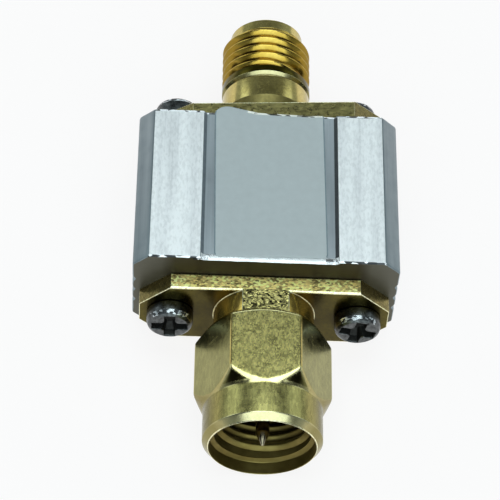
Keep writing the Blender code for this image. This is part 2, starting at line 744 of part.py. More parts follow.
def make_solder_joint(name, base, side, slot):
    """A dome of solder over the conductor's end, cut by the board and the conductor."""
    mesh = bpy.data.meshes.new(name)
    shape = bmesh.new()
    bmesh.ops.create_uvsphere(shape, u_segments=20, v_segments=10, radius=1.0)
    bmesh.ops.scale(shape, vec=(SOLDER_WIDTH / 2, SOLDER_LENGTH / 2, SOLDER_HEIGHT), verts=shape.verts[:])
    shape.to_mesh(mesh)
    shape.free()
    item = add_object(name, mesh, slot)
    middle = base - side * (CONDUCTOR_INSIDE - SOLDER_LENGTH / 2 - EDGE_BREAK)
    item.location = (0.0, middle, FOIL_TOP - 5 * FIT)
    size = 3 * SOLDER_WIDTH
    below = block(f"{name}_board", size, size, FOIL_TOP - size, size, None, (0.0, middle))
    combine(item, "DIFFERENCE", below)
    radius = CONDUCTOR_RADIUS + FIT
    reach = SOLDER_LENGTH
    bar = [(0.0, -reach), (radius, -reach), (radius, reach), (0.0, reach)]
    pin = turned(f"{name}_pin", bar, middle, 1, None, steps=32)
    combine(item, "DIFFERENCE", pin)
    return item


clear_scene()
PIECES = bpy.data.collections.new("surface_acoustic_wave_filter")
CUTTERS = bpy.data.collections.new("cutters")
bpy.context.scene.collection.children.link(PIECES)
bpy.context.scene.collection.children.link(CUTTERS)

aluminium = material("aluminium", (0.62, 0.65, 0.66), 0.42, 1.0)
label_film = material("label_film", (0.36, 0.44, 0.45), 0.5, 0.0)
gold = material("gold_plate", (0.78, 0.62, 0.27), 0.25, 1.0)
contact_gold = material("contact_gold", (0.83, 0.66, 0.3), 0.2, 1.0)
screw_steel = material("screw_steel", (0.33, 0.32, 0.29), 0.4, 1.0)
spring_metal = material("spring_metal", (0.7, 0.5, 0.3), 0.35, 1.0)
silicone = material("silicone", (0.55, 0.12, 0.06), 0.6, 0.0)
white_plastic = material("white_plastic", (0.85, 0.85, 0.82), 0.5, 0.0)
laminate = material("laminate", (0.06, 0.22, 0.1), 0.5, 0.0)
foil = material("foil", (0.75, 0.45, 0.28), 0.35, 1.0)
ceramic = material("ceramic", (0.3, 0.28, 0.27), 0.6, 0.0)
crystal = material("crystal", (0.8, 0.82, 0.78), 0.1, 0.0)
lid_metal = material("lid_metal", (0.75, 0.7, 0.55), 0.3, 1.0)
coil_body = material("coil_body", (0.12, 0.13, 0.15), 0.5, 0.0)
capacitor_body = material("capacitor_body", (0.5, 0.38, 0.26), 0.5, 0.0)
solder = material("solder", (0.62, 0.62, 0.62), 0.3, 1.0)

make_housing(aluminium)
make_label(label_film)
make_plug_body(gold)
make_coupling_nut(gold)
make_snap_ring(spring_metal)
make_gasket(silicone)
make_insulator("plug_insulator", PLUG_FACE_Y, -1, PLUG_REFERENCE - 2 * FIT, white_plastic)
make_insulator("jack_insulator", JACK_FACE_Y, 1, JACK_END - JACK_BORE_DEPTH - 2 * FIT, white_plastic)
make_plug_pin(contact_gold)
make_jack_body(gold)
make_jack_contact(contact_gold)
for index, location in enumerate(screw_places(), 1):
    make_screw(index, location, screw_steel)
make_board(laminate)
make_traces(foil)
make_ground_foil(foil)
make_package(ceramic, lid_metal, crystal)
make_bond_wire("bond_wire_1", -1, contact_gold)
make_bond_wire("bond_wire_2", 1, contact_gold)
make_chips(coil_body, capacitor_body)
make_solder_joint("solder_joint_1", PLUG_FACE_Y, -1, solder)
make_solder_joint("solder_joint_2", JACK_FACE_Y, 1, solder)
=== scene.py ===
import math

import bmesh
import bpy
import numpy as np
from mathutils import Matrix, Vector


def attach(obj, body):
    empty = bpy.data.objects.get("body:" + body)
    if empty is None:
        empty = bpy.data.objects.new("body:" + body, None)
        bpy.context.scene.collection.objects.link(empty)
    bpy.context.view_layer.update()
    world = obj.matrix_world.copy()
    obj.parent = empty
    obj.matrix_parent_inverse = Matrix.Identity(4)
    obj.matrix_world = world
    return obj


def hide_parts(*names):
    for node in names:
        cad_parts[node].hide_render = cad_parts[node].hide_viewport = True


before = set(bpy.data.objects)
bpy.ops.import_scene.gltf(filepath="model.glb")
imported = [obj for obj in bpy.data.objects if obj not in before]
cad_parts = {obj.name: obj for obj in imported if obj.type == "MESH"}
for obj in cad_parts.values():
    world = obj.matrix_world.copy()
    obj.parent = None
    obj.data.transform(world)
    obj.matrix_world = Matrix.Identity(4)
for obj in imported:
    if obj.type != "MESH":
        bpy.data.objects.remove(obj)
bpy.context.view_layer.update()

# one millimetre in metres, then sizes in millimetres that several pieces share
MM = 0.001
AXIS = 4.0
PLUG_FACE = -5.675
JACK_FACE = 6.725
MIDDLE = (PLUG_FACE + JACK_FACE) / 2
PITCH = 0.7056
THREAD_RADIUS = 3.175
BORE_RADIUS = 2.05
CONTACT_RADIUS = 0.635
CONTACT_ROOT = -2.2
SCREW_OFFSET = 6.35
PLUG_FLANGE_THICKNESS = 1.2
JACK_FLANGE_THICKNESS = 2.4

scene = bpy.context.scene
scene.view_settings.view_transform = "Standard"


# meshes
def new_object(name, data):
    item = bpy.data.objects.new(name, data)
    scene.collection.objects.link(item)
    return item


def to_mesh(name, shape, recalc=True):
    """A mesh in metres from a bmesh in millimetres, which is used up."""
    if recalc:
        bmesh.ops.recalc_face_normals(shape, faces=shape.faces[:])
    bmesh.ops.scale(shape, vec=(MM, MM, MM), verts=shape.verts[:])
    mesh = bpy.data.meshes.new(name)
    shape.to_mesh(mesh)
    shape.free()
    return mesh


def dress(item, body, slot, *nodes):
    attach(item, body)
    if nodes:
        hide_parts(*nodes)


def add_piece(mesh, looks, body, slot, *nodes, pick=None, degrees=35.0):
    """A smooth piece; pick(normal, centre in mm, area in square mm) gives the number of a face's finish."""
    for look in looks:
        mesh.materials.append(look)
    if pick:
        for face in mesh.polygons:
            face.material_index = pick(face.normal, face.center / MM, face.area / MM / MM)
    mesh.shade_smooth()
    mesh.set_sharp_from_angle(angle=math.radians(degrees))
    item = new_object(mesh.name, mesh)
    dress(item, body, slot, *nodes)
    return item


def cap_ends(shape, rows):
    shape.faces.new(rows[0])
    shape.faces.new(list(reversed(rows[-1])))


def loft(sections, x=0.0, closed=False, shape=None):
    """A body, or one more in shape, through outlines across the connectors' axis, as (y, outline)."""
    shape = shape or bmesh.new()
    rows = [[shape.verts.new((x + u, y, AXIS + v)) for u, v in outline] for y, outline in sections]
    if not closed:
        cap_ends(shape, rows)
    count = len(rows[0])
    for first, second in zip(rows, rows[1:] + rows[:1] if closed else rows[1:]):
        for i in range(count):
            after = (i + 1) % count
            shape.faces.new((first[i], second[i], second[after], first[after]))
    return shape


def fill_grid(shape, grid):
    """Faces between the points of a grid with open sides."""
    for here, there in zip(grid, grid[1:]):
        for i in range(len(here) - 1):
            shape.faces.new((here[i], here[i + 1], there[i + 1], there[i]))


def soft_least(a, b, width):
    """The lesser of two values, rounded off where they come within width of each other."""
    near = max(width - abs(a - b), 0.0) / width
    return min(a, b) - near * near * width / 4


def rotated(points, degrees):
    c = math.cos(math.radians(degrees))
    s = math.sin(math.radians(degrees))
    return [(x * c - z * s, x * s + z * c) for x, z in points]


def corner_arc(here, before, after, radius, steps):
    """Points of the arc that rounds a corner; before and after lead to its neighbours."""
    room = min(before.length, after.length) * 0.49
    before = before.normalized()
    after = after.normalized()
    half = before.angle(after) / 2
    if half > math.radians(88):
        return [(here.x, here.y)]
    reach = min(radius / math.tan(half), room)
    radius = reach * math.tan(half)
    centre = here + (before + after).normalized() * (radius / math.sin(half))
    start = here + before * reach - centre
    turn = start.angle_signed(here + after * reach - centre)
    out = []
    for k in range(steps + 1):
        arm = start.copy()
        arm.rotate(Matrix.Rotation(-turn * k / steps, 2))
        out.append((centre.x + arm.x, centre.y + arm.y))
    return out


def rounded(points, closed=False, steps=4):
    """A line whose corners given as (u, v, radius) are turned into arcs."""
    out = []
    count = len(points)
    for i, point in enumerate(points):
        here = Vector(point[:2])
        radius = point[2] if len(point) > 2 else 0.0
        if radius <= 0 or (not closed and i in (0, count - 1)):
            out.append((here.x, here.y))
            continue
        before = Vector(points[i - 1][:2]) - here
        after = Vector(points[(i + 1) % count][:2]) - here
        out += corner_arc(here, before, after, radius, steps)
    return out


def lathe(profile, base, side, steps=128, centre=0.0, closed=False):
    """A turned surface: (radius, distance from base) along the connectors' axis."""
    shape = bmesh.new()
    rings = []
    for radius, along in profile:
        y = base + side * along
        if radius <= 1e-6:
            rings.append([shape.verts.new((centre, y, AXIS))])
            continue
        ring = []
        for k in range(steps):
            angle = 2 * math.pi * k / steps
            x = centre + radius * math.cos(angle)
            ring.append(shape.verts.new((x, y, AXIS + radius * math.sin(angle))))
        rings.append(ring)
    for first, second in zip(rings, rings[1:] + rings[:1] if closed else rings[1:]):
        for k in range(steps):
            after = (k + 1) % steps
            around = ((first, k), (second, k), (second, after), (first, after))
            corners = list(dict.fromkeys(ring[n % len(ring)] for ring, n in around))
            if len(corners) > 2:
                shape.faces.new(corners)
    return shape


def helix(inner, crest, base, side, start, end, width=0.8, flat=0.14, steps=96):
    """A thread's ridge wound from start to end, fading out at both ends."""
    shape = bmesh.new()
    shoulder = 0.93
    slope = [(width / 2, 0.0), (flat / 2 + 0.04, shoulder), (flat / 2 - 0.03, 1.0)]
    section = [(-along, height) for along, height in slope] + slope[::-1]
    turns = (end - start) / PITCH - width
    count = int(turns * steps)
    fading = steps * 0.3
    rows = []
    for i in range(count + 1):
        angle = 2 * math.pi * i / steps
        fade = min(1.0, i / fading, (count - i) / fading)
        rise = 0.5 - 0.5 * math.cos(math.pi * max(fade, 0.0))
        row = []
        for along, height in section:
            radius = inner + (crest - inner) * height * rise
            y = base + side * (start + PITCH * (along + width / 2 + i / steps))
            row.append(shape.verts.new((radius * math.cos(angle), y, AXIS + radius * math.sin(angle))))
        rows.append(row)
    fill_grid(shape, rows)
    cap_ends(shape, rows)
    return shape


def boolean(name, first, second, operation):
    """Two shapes, given as bmeshes, combined into one mesh."""
    a = new_object(name + "_a", to_mesh(name + "_a", first))
    b = new_object(name + "_b", to_mesh(name + "_b", second))
    step = a.modifiers.new("combine", "BOOLEAN")
    step.operation = operation
    step.solver = "EXACT"
    step.object = b
    graph = bpy.context.evaluated_depsgraph_get()
    graph.update()
    mesh = bpy.data.meshes.new_from_object(a.evaluated_get(graph), depsgraph=graph)
    for item in (a, b):
        bpy.data.objects.remove(item, do_unlink=True)
    mesh.name = name
    return mesh


def edge_bevel(item, width, segments=2, look=-1):
    """Rounded edges, by the mesh's bevel weights where it has them and by angle elsewhere."""
    step = item.modifiers.new("bevel", "BEVEL")
    step.material = look
    step.use_clamp_overlap = False
    step.width = width * MM
    step.segments = segments
    step.limit_method = "WEIGHT" if "bevel_weight_edge" in item.data.attributes else "ANGLE"
    step.angle_limit = math.radians(32.0)
    step.harden_normals = True


# node trees
EVEN = (1.0, 1.0, 1.0)


class Nodes:
    """A node tree with short ways to add its nodes."""

    def __init__(self, tree):
        self.tree = tree

    def feed(self, socket, value):
        """A socket's value: the output of another node, a colour, a vector or a number."""
        if isinstance(value, bpy.types.NodeSocket):
            self.tree.links.new(value, socket)
        elif socket.type == "RGBA":
            socket.default_value = (*value, 1.0)
        else:
            socket.default_value = value

    def node(self, kind, inputs=(), **settings):
        """A new node; inputs gives the values of its sockets by name or number."""
        made = self.tree.nodes.new(kind)
        for key, value in settings.items():
            setattr(made, key, value)
        for key, value in dict(inputs).items():
            self.feed(made.inputs[key], value)
        return made

    def arithmetic(self, operation, *values):
        return self.node("ShaderNodeMath", dict(enumerate(values)), operation=operation).outputs[0]

    def split(self, vector):
        return self.node("ShaderNodeSeparateXYZ", {0: vector}).outputs

    def ramp(self, source, stops):
        made = self.node("ShaderNodeValToRGB", {"Fac": source})
        elements = made.color_ramp.elements
        while len(elements) < len(stops):
            elements.new(0.5)
        for element, (at, colour) in zip(elements, stops):
            element.position = at
            element.color = (*colour, 1.0)
        return made.outputs["Color"]

    def grey(self, source, low, high, start=0.3, end=0.7):
        """From low to high while the source goes from start to end."""
        inputs = {"Value": source, "From Min": start, "From Max": end, "To Min": low, "To Max": high}
        return self.node("ShaderNodeMapRange", inputs).outputs["Result"]


class Finish(Nodes):
    """A material's node tree, built step by step."""

    def __init__(self, name):
        self.material = bpy.data.materials.new(name)
        self.material.use_nodes = True
        super().__init__(self.material.node_tree)
        self.shader = self.tree.nodes["Principled BSDF"]

    def coords(self, scale):
        where = self.node("ShaderNodeTexCoord").outputs["Object"]
        return self.node("ShaderNodeMapping", {"Vector": where, "Scale": scale}).outputs["Vector"]

    def noise(self, scale, detail=3.0, roughness=0.55, stretch=EVEN):
        inputs = {"Vector": self.coords(stretch), "Scale": scale, "Detail": detail, "Roughness": roughness}
        return self.node("ShaderNodeTexNoise", inputs).outputs["Fac"]

    def cells(self, scale, stretch):
        inputs = {"Vector": self.coords(stretch), "Scale": scale}
        return self.node("ShaderNodeTexVoronoi", inputs).outputs["Color"]

    def mix(self, factor, first, second, blend="MIX"):
        """Two colours mixed; inputs 0, 6 and 7 and output 2 are the node's sockets for colour."""
        inputs = {0: factor, 6: first, 7: second}
        made = self.node("ShaderNodeMix", inputs, data_type="RGBA", blend_type=blend, clamp_result=True)
        return made.outputs[2]

    def openness(self, reach, crevice_shade):
        """1 in the open and lower where surfaces close in within reach millimetres: the mask of painted shade
        in crevices.
        """
        closed = self.node("ShaderNodeAmbientOcclusion", {"Distance": reach * MM}, samples=8)
        return self.grey(closed.outputs["AO"], 1.0 - crevice_shade, 1.0, 0.25, 0.85)

    def upward(self, sides):
        """1 on faces that look up and down to 1 - sides on those that look sideways: the mask of painted
        shade on the sides.
        """
        facing = self.split(self.node("ShaderNodeNewGeometry").outputs["Normal"])
        return self.grey(facing["Z"], 1.0 - sides, 1.0, 0.4, 0.95)

    def bumps(self, *layers):
        """Bump layers as (height, strength, distance in millimetres)."""
        below = {}
        for height, strength, distance in layers:
            inputs = {"Height": height, "Strength": strength, "Distance": distance * MM, **below}
            below = {"Normal": self.node("ShaderNodeBump", inputs).outputs["Normal"]}
        self.feed(self.shader.inputs["Normal"], below["Normal"])

    def set(self, colour, metallic, roughness):
        for key, value in (("Base Color", colour), ("Metallic", metallic), ("Roughness", roughness)):
            self.feed(self.shader.inputs[key], value)


# materials
ALONG = (9000.0, 160.0, 9000.0)
ALONG_BROAD = (1100.0, 60.0, 1100.0)
ALONG_SPOTS = (6000.0, 2500.0, 6000.0)
SAW_MARKS = (900.0, 900.0, 9000.0)
TURNING_MARKS = (300.0, 16000.0, 300.0)
# tint of the painted shade in crevices
CREVICE_SHADE_TINT = (0.16, 0.11, 0.06)
# tint of the painted shade on faces that look sideways
PAINTED_SIDE_SHADE = (0.32, 0.3, 0.2)


def tinted(colour, factors):
    """A colour times one factor for all channels or one for each, up to white."""
    if isinstance(factors, float):
        factors = (factors,) * 3
    return [min(1.0, c * k) for c, k in zip(colour, factors)]


def gold_finish(name, deep, light, rough, grain=0.0, turned=0.0, stretch=EVEN, grain_scale=7000.0,
                crevice_shade=0.55, reach=2.2, sides=0.0, metallic=1.0):
    """Gold plate: patches, fine grain, turning marks, with painted shade where it is closed in and where it
    faces sideways.
    """
    finish = Finish(name)
    colour = finish.ramp(finish.noise(700.0), [(0.3, deep), (0.7, light)])
    spread = 0.8 * grain
    cells = finish.grey(finish.cells(grain_scale, stretch), 1.0 - spread, 1.0 + spread, 0.2, 0.8)
    colour = finish.mix(1.0, colour, cells, "MULTIPLY")
    # painted shade where surfaces close in
    colour = finish.mix(finish.openness(reach, crevice_shade), tinted(deep, CREVICE_SHADE_TINT), colour)
    if sides:
        # painted shade on faces that look sideways
        colour = finish.mix(finish.upward(sides), tinted(deep, PAINTED_SIDE_SHADE), colour)
    finish.set(colour, metallic, finish.grey(finish.noise(2200.0), rough * 0.75, rough * 1.3))
    layers = [(finish.noise(1500.0, 2.0), 0.12, 0.02)]
    if turned:
        layers.append((finish.noise(1.0, 2.0, 0.6, TURNING_MARKS), turned, 0.01))
    if grain:
        layers.append((finish.noise(grain_scale * 1.3, 2.0, 0.6, stretch), grain * 0.7, 0.03))
    finish.bumps(*layers)
    return finish.material


def aluminium_finish(name, dark, light, rough, metallic, streak, mottle=0.0):
    """Extruded aluminium: broad and fine streaks along the extrusion, patches and small spots."""
    finish = Finish(name)
    lines = finish.noise(1.0, 4.0, 0.65, ALONG)
    broad = finish.noise(1.0, 2.0, 0.5, ALONG_BROAD)
    patches = finish.noise(900.0, 4.0, 0.6)
    colour = finish.ramp(broad, [(0.35, dark), (0.68, light)])
    colour = finish.mix(finish.grey(lines, 0.0, 0.6), colour, tinted(light, 1.1))
    colour = finish.mix(finish.grey(patches, 0.0, 0.3, 0.5, 0.75), colour, dark)
    if mottle:
        spots = finish.noise(1.0, 3.0, 0.6, ALONG_SPOTS)
        spots = finish.grey(spots, 1.0 - mottle, 1.0 + 0.3 * mottle, 0.4, 0.55)
        colour = finish.mix(1.0, colour, spots, "MULTIPLY")
    finish.set(colour, metallic, finish.grey(patches, rough * 0.8, rough * 1.2))
    finish.bumps((lines, streak, 0.01), (finish.noise(7000.0, 2.0), streak * 0.5, 0.01))
    return finish.material


def end_finish(name, shaded, bare, rough):
    """Sawn aluminium with painted shade on the near end: darkest behind the flange, the bare colour towards
    the sides, and paler at the far end.
    """
    finish = Finish(name)
    place = finish.split(finish.coords((1 / MM, 1 / MM, 1 / MM)))
    aside = finish.grey(finish.arithmetic("ABSOLUTE", place["X"]), 0.0, 1.0, 6.1, 7.0)
    far = finish.grey(place["Y"], 0.0, 1.0, -1.0, 1.0)
    lines = finish.noise(1.0, 4.0, 0.65, SAW_MARKS)
    # painted shade behind the near flange, streaked by the saw marks
    shaded = finish.mix(finish.grey(lines, 0.7, 1.0), tinted(shaded, 0.5), shaded)
    beside = finish.mix(finish.grey(lines, 0.6, 1.0), tinted(bare, 0.5), bare)
    colour = finish.mix(far, finish.mix(aside, shaded, beside), tinted(bare, 2.2))
    finish.set(colour, 0.8, finish.grey(lines, rough * 0.8, rough * 1.2))
    finish.bumps((lines, 0.3, 0.01))
    return finish.material


def glint_fleck_finish(name, dark, light, share, scale, metallic=0.8):
    """Bright flecks beside dark ones, painted glints and painted shade, on torn edges and on the screws'
    shoulders; share is how much of it is dark.
    """
    finish = Finish(name)
    cells = finish.cells(scale, (0.6, 1.0, 1.0))
    colour = finish.ramp(cells, [(0.0, dark), (share, dark), (min(0.99, share + 0.06), light), (1.0, light)])
    finish.set(colour, metallic, finish.grey(cells, 0.45, 0.25))
    finish.bumps((finish.noise(scale * 1.5, 2.0), 0.6, 0.03))
    return finish.material


def plain_finish(name, colour, rough, metallic=0.0, variation=0.12, grain=0.1, scale=3000.0, depth=0.01):
    """One colour with faint patches and a fine grain."""
    finish = Finish(name)
    low = tinted(colour, 1.0 - variation)
    high = tinted(colour, 1.0 + variation)
    patches = finish.ramp(finish.noise(scale), [(0.3, low), (0.7, high)])
    finish.set(patches, metallic, finish.grey(finish.noise(scale * 0.7, 2.0), rough * 0.85, rough * 1.15))
    finish.bumps((finish.noise(scale * 2.5, 2.0), grain, depth))
    return finish.material


gold = gold_finish(
    "gold_plate", (0.6, 0.48, 0.15), (0.74, 0.61, 0.23), 0.18, grain=0.1, turned=0.15, sides=0.35)
gold_boss = gold_finish(
    "gold_plate_boss", (0.74, 0.53, 0.13), (0.92, 0.66, 0.16), 0.18, grain=0.06, crevice_shade=0.4, metallic=0.93)
# paler gold for the rounded edges of the flanges and the nut mouth's inner edge: a painted highlight
gold_painted_highlight = gold_finish(
    "gold_plate_painted_highlight", (0.9, 0.79, 0.44), (1.0, 0.94, 0.64), 0.28, grain=0.3, crevice_shade=0.1)
# paler gold for the nut's chamfered edges: a painted highlight, with painted shade on the sides
gold_edge_painted_highlight = gold_finish(
    "gold_plate_edge_painted_highlight", (0.76, 0.67, 0.3), (0.92, 0.83, 0.44), 0.22, grain=0.1, crevice_shade=0.5, sides=0.95)
# paler gold for the nut's rim and the barrel's ring: a painted highlight, with painted shade on the sides
gold_rim_painted_highlight = gold_finish(
    "gold_plate_rim_painted_highlight", (0.84, 0.77, 0.42), (0.97, 0.9, 0.54), 0.22, grain=0.06, crevice_shade=0.3, sides=0.95)
gold_flat = gold_finish(
    "gold_plate_milled", (0.52, 0.455, 0.16), (0.59, 0.515, 0.19), 0.27, grain=0.47, stretch=(1.0, 0.5, 1.0),
    grain_scale=13000.0)
# darker gold for the nut's side flats: painted shade
gold_nut_side_painted_shade = gold_finish(
    "gold_plate_nut_side_painted_shade", (0.245, 0.23, 0.075), (0.315, 0.3, 0.105), 0.22, grain=0.12,
    stretch=(1.0, 0.4, 1.0), crevice_shade=0.45)
gold_collar = gold_finish(
    "gold_plate_collar", (0.47, 0.42, 0.15), (0.55, 0.49, 0.18), 0.26, grain=0.25, turned=0.1,
    stretch=(1.0, 0.3, 1.0), grain_scale=9000.0, sides=0.93)
gold_cone = gold_finish("gold_plate_cone", (0.5, 0.42, 0.14), (0.62, 0.53, 0.2), 0.12, grain=0.05, sides=0.8)
# brighter gold for the near flange's top: a painted highlight over its coarse grain
gold_top_painted_highlight = gold_finish(
    "gold_plate_flange_painted_highlight", (0.64, 0.48, 0.15), (0.98, 0.78, 0.29), 0.4, grain=0.9, stretch=(0.55, 1.0, 1.0),
    grain_scale=10000.0, crevice_shade=0.1, metallic=0.55)
gold_speckled = gold_finish(
    "gold_plate_blasted", (0.42, 0.36, 0.13), (0.56, 0.49, 0.2), 0.25, grain=1.2, grain_scale=6500.0,
    crevice_shade=0.2)
# darker gold for the far flange's top: painted shade
gold_far_painted_shade = gold_finish(
    "gold_plate_far_flange_painted_shade", (0.34, 0.29, 0.11), (0.5, 0.43, 0.17), 0.3, grain=0.4, stretch=(0.4, 1.0, 1.0),
    crevice_shade=0.3)
# darker gold for the flanges' cut corners: painted shade
gold_cut_painted_shade = gold_finish(
    "gold_plate_cut_corner_painted_shade", (0.22, 0.175, 0.06), (0.32, 0.265, 0.1), 0.25, grain=0.3, crevice_shade=0.3)
# nearly black gold for the plug flange's end faces and the barrel's shoulder: painted shade
gold_face_painted_shade = gold_finish(
    "gold_plate_face_painted_shade", (0.066, 0.052, 0.005), (0.116, 0.093, 0.013), 0.2, grain=0.15, crevice_shade=0.75, reach=3.0)
gold_back = gold_finish(
    "gold_plate_back_face", (0.36, 0.29, 0.09), (0.5, 0.41, 0.14), 0.28, grain=0.3, crevice_shade=0.7)
# dark gold for the barrel's foot: painted shade
gold_root_painted_shade = gold_finish("gold_plate_root_painted_shade", (0.22, 0.18, 0.06), (0.3, 0.25, 0.09), 0.5, grain=0.1, crevice_shade=0.2)
# brighter, yellower gold for the jack's thread: a painted highlight, with painted shade on its sides
gold_thread_painted_highlight = gold_finish(
    "gold_plate_thread_painted_highlight", (0.74, 0.49, 0.08), (0.93, 0.68, 0.16), 0.2, grain=0.08, turned=0.1, crevice_shade=0.5,
    sides=0.85)
# dark gold for the bores, the nut's inside and its thread: painted shade
gold_bore_painted_shade = gold_finish(
    "gold_plate_bore_painted_shade", (0.2, 0.155, 0.045), (0.27, 0.22, 0.072), 0.42, turned=0.1, crevice_shade=0.79, reach=4.0)
contact_gold = gold_finish(
    "contact_gold", (0.3, 0.26, 0.17), (0.42, 0.37, 0.26), 0.16, grain=0.05, crevice_shade=0.8, reach=4.0)
cheek_metal = aluminium_finish(
    "aluminium_brushed", (0.74, 0.74, 0.75), (1.0, 1.0, 1.0), 0.5, metallic=0.02, streak=0.5, mottle=0.1)
band_metal = aluminium_finish(
    "aluminium_extruded", (0.36, 0.4, 0.43), (0.48, 0.52, 0.55), 0.4, metallic=0.7, streak=0.12)
side_metal = aluminium_finish(
    "aluminium_side", (0.185, 0.228, 0.25), (0.26, 0.312, 0.335), 0.35, metallic=0.9, streak=0.2)
end_metal = end_finish("aluminium_sawn", (0.045, 0.037, 0.02), (0.13, 0.125, 0.095), 0.45)
burr_metal = aluminium_finish(
    "aluminium_edge", (0.62, 0.65, 0.67), (1.0, 1.0, 1.0), 0.28, metallic=0.9, streak=0.7)
# torn edges of the housing's ends, with painted glints and painted shade in their flecks
torn_metal_painted_glints = glint_fleck_finish(
    "aluminium_torn_edge_painted_glints", (0.03, 0.033, 0.036), (0.94, 0.96, 0.98), share=0.4, scale=3600.0, metallic=0.5)
# white flecks on the screws' shoulders: painted glints
steel_shoulder_painted_glints = glint_fleck_finish(
    "screw_shoulder_painted_glints", (0.05, 0.053, 0.055), (0.62, 0.65, 0.67), share=0.5, scale=8000.0)
# near black on the recess's right wall: a painted shadow
recess_right_wall_painted_shadow = plain_finish("recess_corner_painted_shadow", (0.05, 0.054, 0.058), 0.6, 0.3)
groove_grey = plain_finish("recess_wall", (0.14, 0.165, 0.185), 0.5, 0.3)
label_side = plain_finish("label_side", (0.2, 0.25, 0.275), 0.45)
label_film = plain_finish("label_film", (0.46, 0.495, 0.5), 0.42, variation=0.03, grain=0.03, scale=1800.0)
# the label's torn far edge, with painted glints and painted shade in its flecks
label_torn_painted_glints = glint_fleck_finish(
    "label_torn_edge_painted_glints", (0.04, 0.036, 0.02), (1.0, 0.98, 0.88), share=0.4, scale=4200.0, metallic=0.1)
steel = plain_finish(
    "screw_steel", (0.1, 0.105, 0.105), 0.3, 1.0, variation=0.5, grain=0.6, scale=3500.0, depth=0.02)
# near black for the screws' cross recesses: painted shade
recess_steel_painted_shade = plain_finish(
    "screw_recess_painted_shade", (0.025, 0.025, 0.023), 0.5, 0.8, variation=0.3, grain=0.3, scale=5000.0)
spring_metal = plain_finish("spring_metal", (0.6, 0.4, 0.2), 0.3, 1.0)
silicone = plain_finish("silicone", (0.42, 0.08, 0.04), 0.55)
fluoropolymer = plain_finish("white_plastic", (0.82, 0.82, 0.79), 0.45, variation=0.03)
laminate = plain_finish("laminate", (0.04, 0.16, 0.07), 0.4)
copper = plain_finish("foil", (0.7, 0.38, 0.2), 0.3, 1.0)
ceramic = plain_finish("ceramic", (0.25, 0.23, 0.22), 0.6)
crystal_look = plain_finish("crystal", (0.75, 0.78, 0.74), 0.08)
lid_metal = plain_finish("lid_metal", (0.7, 0.62, 0.42), 0.25, 1.0)
coil_body = plain_finish("coil_body", (0.07, 0.08, 0.1), 0.5)
capacitor_body = plain_finish("capacitor_body", (0.42, 0.3, 0.18), 0.5)
solder_look = plain_finish("solder", (0.6, 0.6, 0.6), 0.25, 1.0, grain=0.2)

# housing; heights are measured from the axis
HOUSING_HALF = 8.9495
HOUSING_TOP = 4.9495
HOUSING_LOW = -3.05
CHAMFER_HALF = 7.9
CHAMFER_LOW = -2.0
CHAMFER_HIGH = 3.9
GROOVES = (-0.29, 0.94, 2.17)
GROOVE_HALF = 0.3
GROOVE_DEPTH = 0.16
RECESS_DEPTH = 0.2
RECESS_MIDDLE = 0.15
RECESS_HALF = 4.6
# each row of an end's edge as (inset, distance from the end)
NEAR_EDGE = ((0.07, 0.0), (0.035, 0.03), (0.012, 0.07), (0.0, 0.13), (0.0, 0.45))
FAR_EDGE = ((0.0, 0.22), (0.06, 0.05), (0.11, 0.0))


def housing_outline():
    """The extrusion's section: the right side upwards, the recess, then the left side downwards."""
    edge = 0.22
    groove_edge = 0.06
    recess_edge = 0.04
    right = [(HOUSING_HALF, CHAMFER_LOW, edge)]
    for height in GROOVES:
        right.append((HOUSING_HALF, height - GROOVE_HALF, edge))
        right.append((HOUSING_HALF - GROOVE_DEPTH, height, groove_edge))
        right.append((HOUSING_HALF, height + GROOVE_HALF, edge))
    right.append((HOUSING_HALF, CHAMFER_HIGH, edge))
    left = [(-x, z, radius) for x, z, radius in reversed(right)]
    floor = HOUSING_TOP - RECESS_DEPTH
    start = RECESS_MIDDLE + RECESS_HALF
    end = RECESS_MIDDLE - RECESS_HALF
    recess = [(start, HOUSING_TOP, edge), (start - RECESS_DEPTH, floor, recess_edge),
              (end + RECESS_DEPTH, floor, recess_edge), (end, HOUSING_TOP, edge)]
    bottom = [(-CHAMFER_HALF, HOUSING_LOW, edge), (CHAMFER_HALF, HOUSING_LOW, edge)]
    top = [(CHAMFER_HALF, HOUSING_TOP, edge), *recess, (-CHAMFER_HALF, HOUSING_TOP, edge)]
    return divided(rounded(bottom + right + top + left, closed=True, steps=3), 0.3)


def divided(outline, step):
    """Long sides of a closed outline split into parts no longer than step."""
    out = []
    for here, after in zip(outline, outline[1:] + outline[:1]):
        count = max(1, math.ceil(math.dist(here, after) / step))
        for k in range(count):
            out.append(tuple(a + (b - a) * k / count for a, b in zip(here, after)))
    return out


def inset(outline, amounts):
    """The closed outline moved inwards by the amount given for each of its points."""
    out = []
    count = len(outline)
    for i, amount in enumerate(amounts):
        here = Vector(outline[i])
        a = here - Vector(outline[i - 1])
        b = Vector(outline[(i + 1) % count]) - here
        a = a.normalized() if a.length > 1e-7 else b.normalized()
        b = b.normalized() if b.length > 1e-7 else a
        tangent = (a + b).normalized()
        stretch = 1.0 / max(0.5, tangent.dot(a))
        out.append((here.x - tangent.y * amount * stretch, here.y + tangent.x * amount * stretch))
    return out


def uneven(outline, seed, spacing=0.35):
    """Factors near 1 that wander slowly along a closed outline."""
    along = np.cumsum([math.dist(a, b) for a, b in zip(outline, outline[1:] + outline[:1])])
    knots = np.arange(0.0, along[-1], spacing)
    return np.interp(along, knots, np.random.default_rng(seed).uniform(0.7, 1.3, len(knots)))


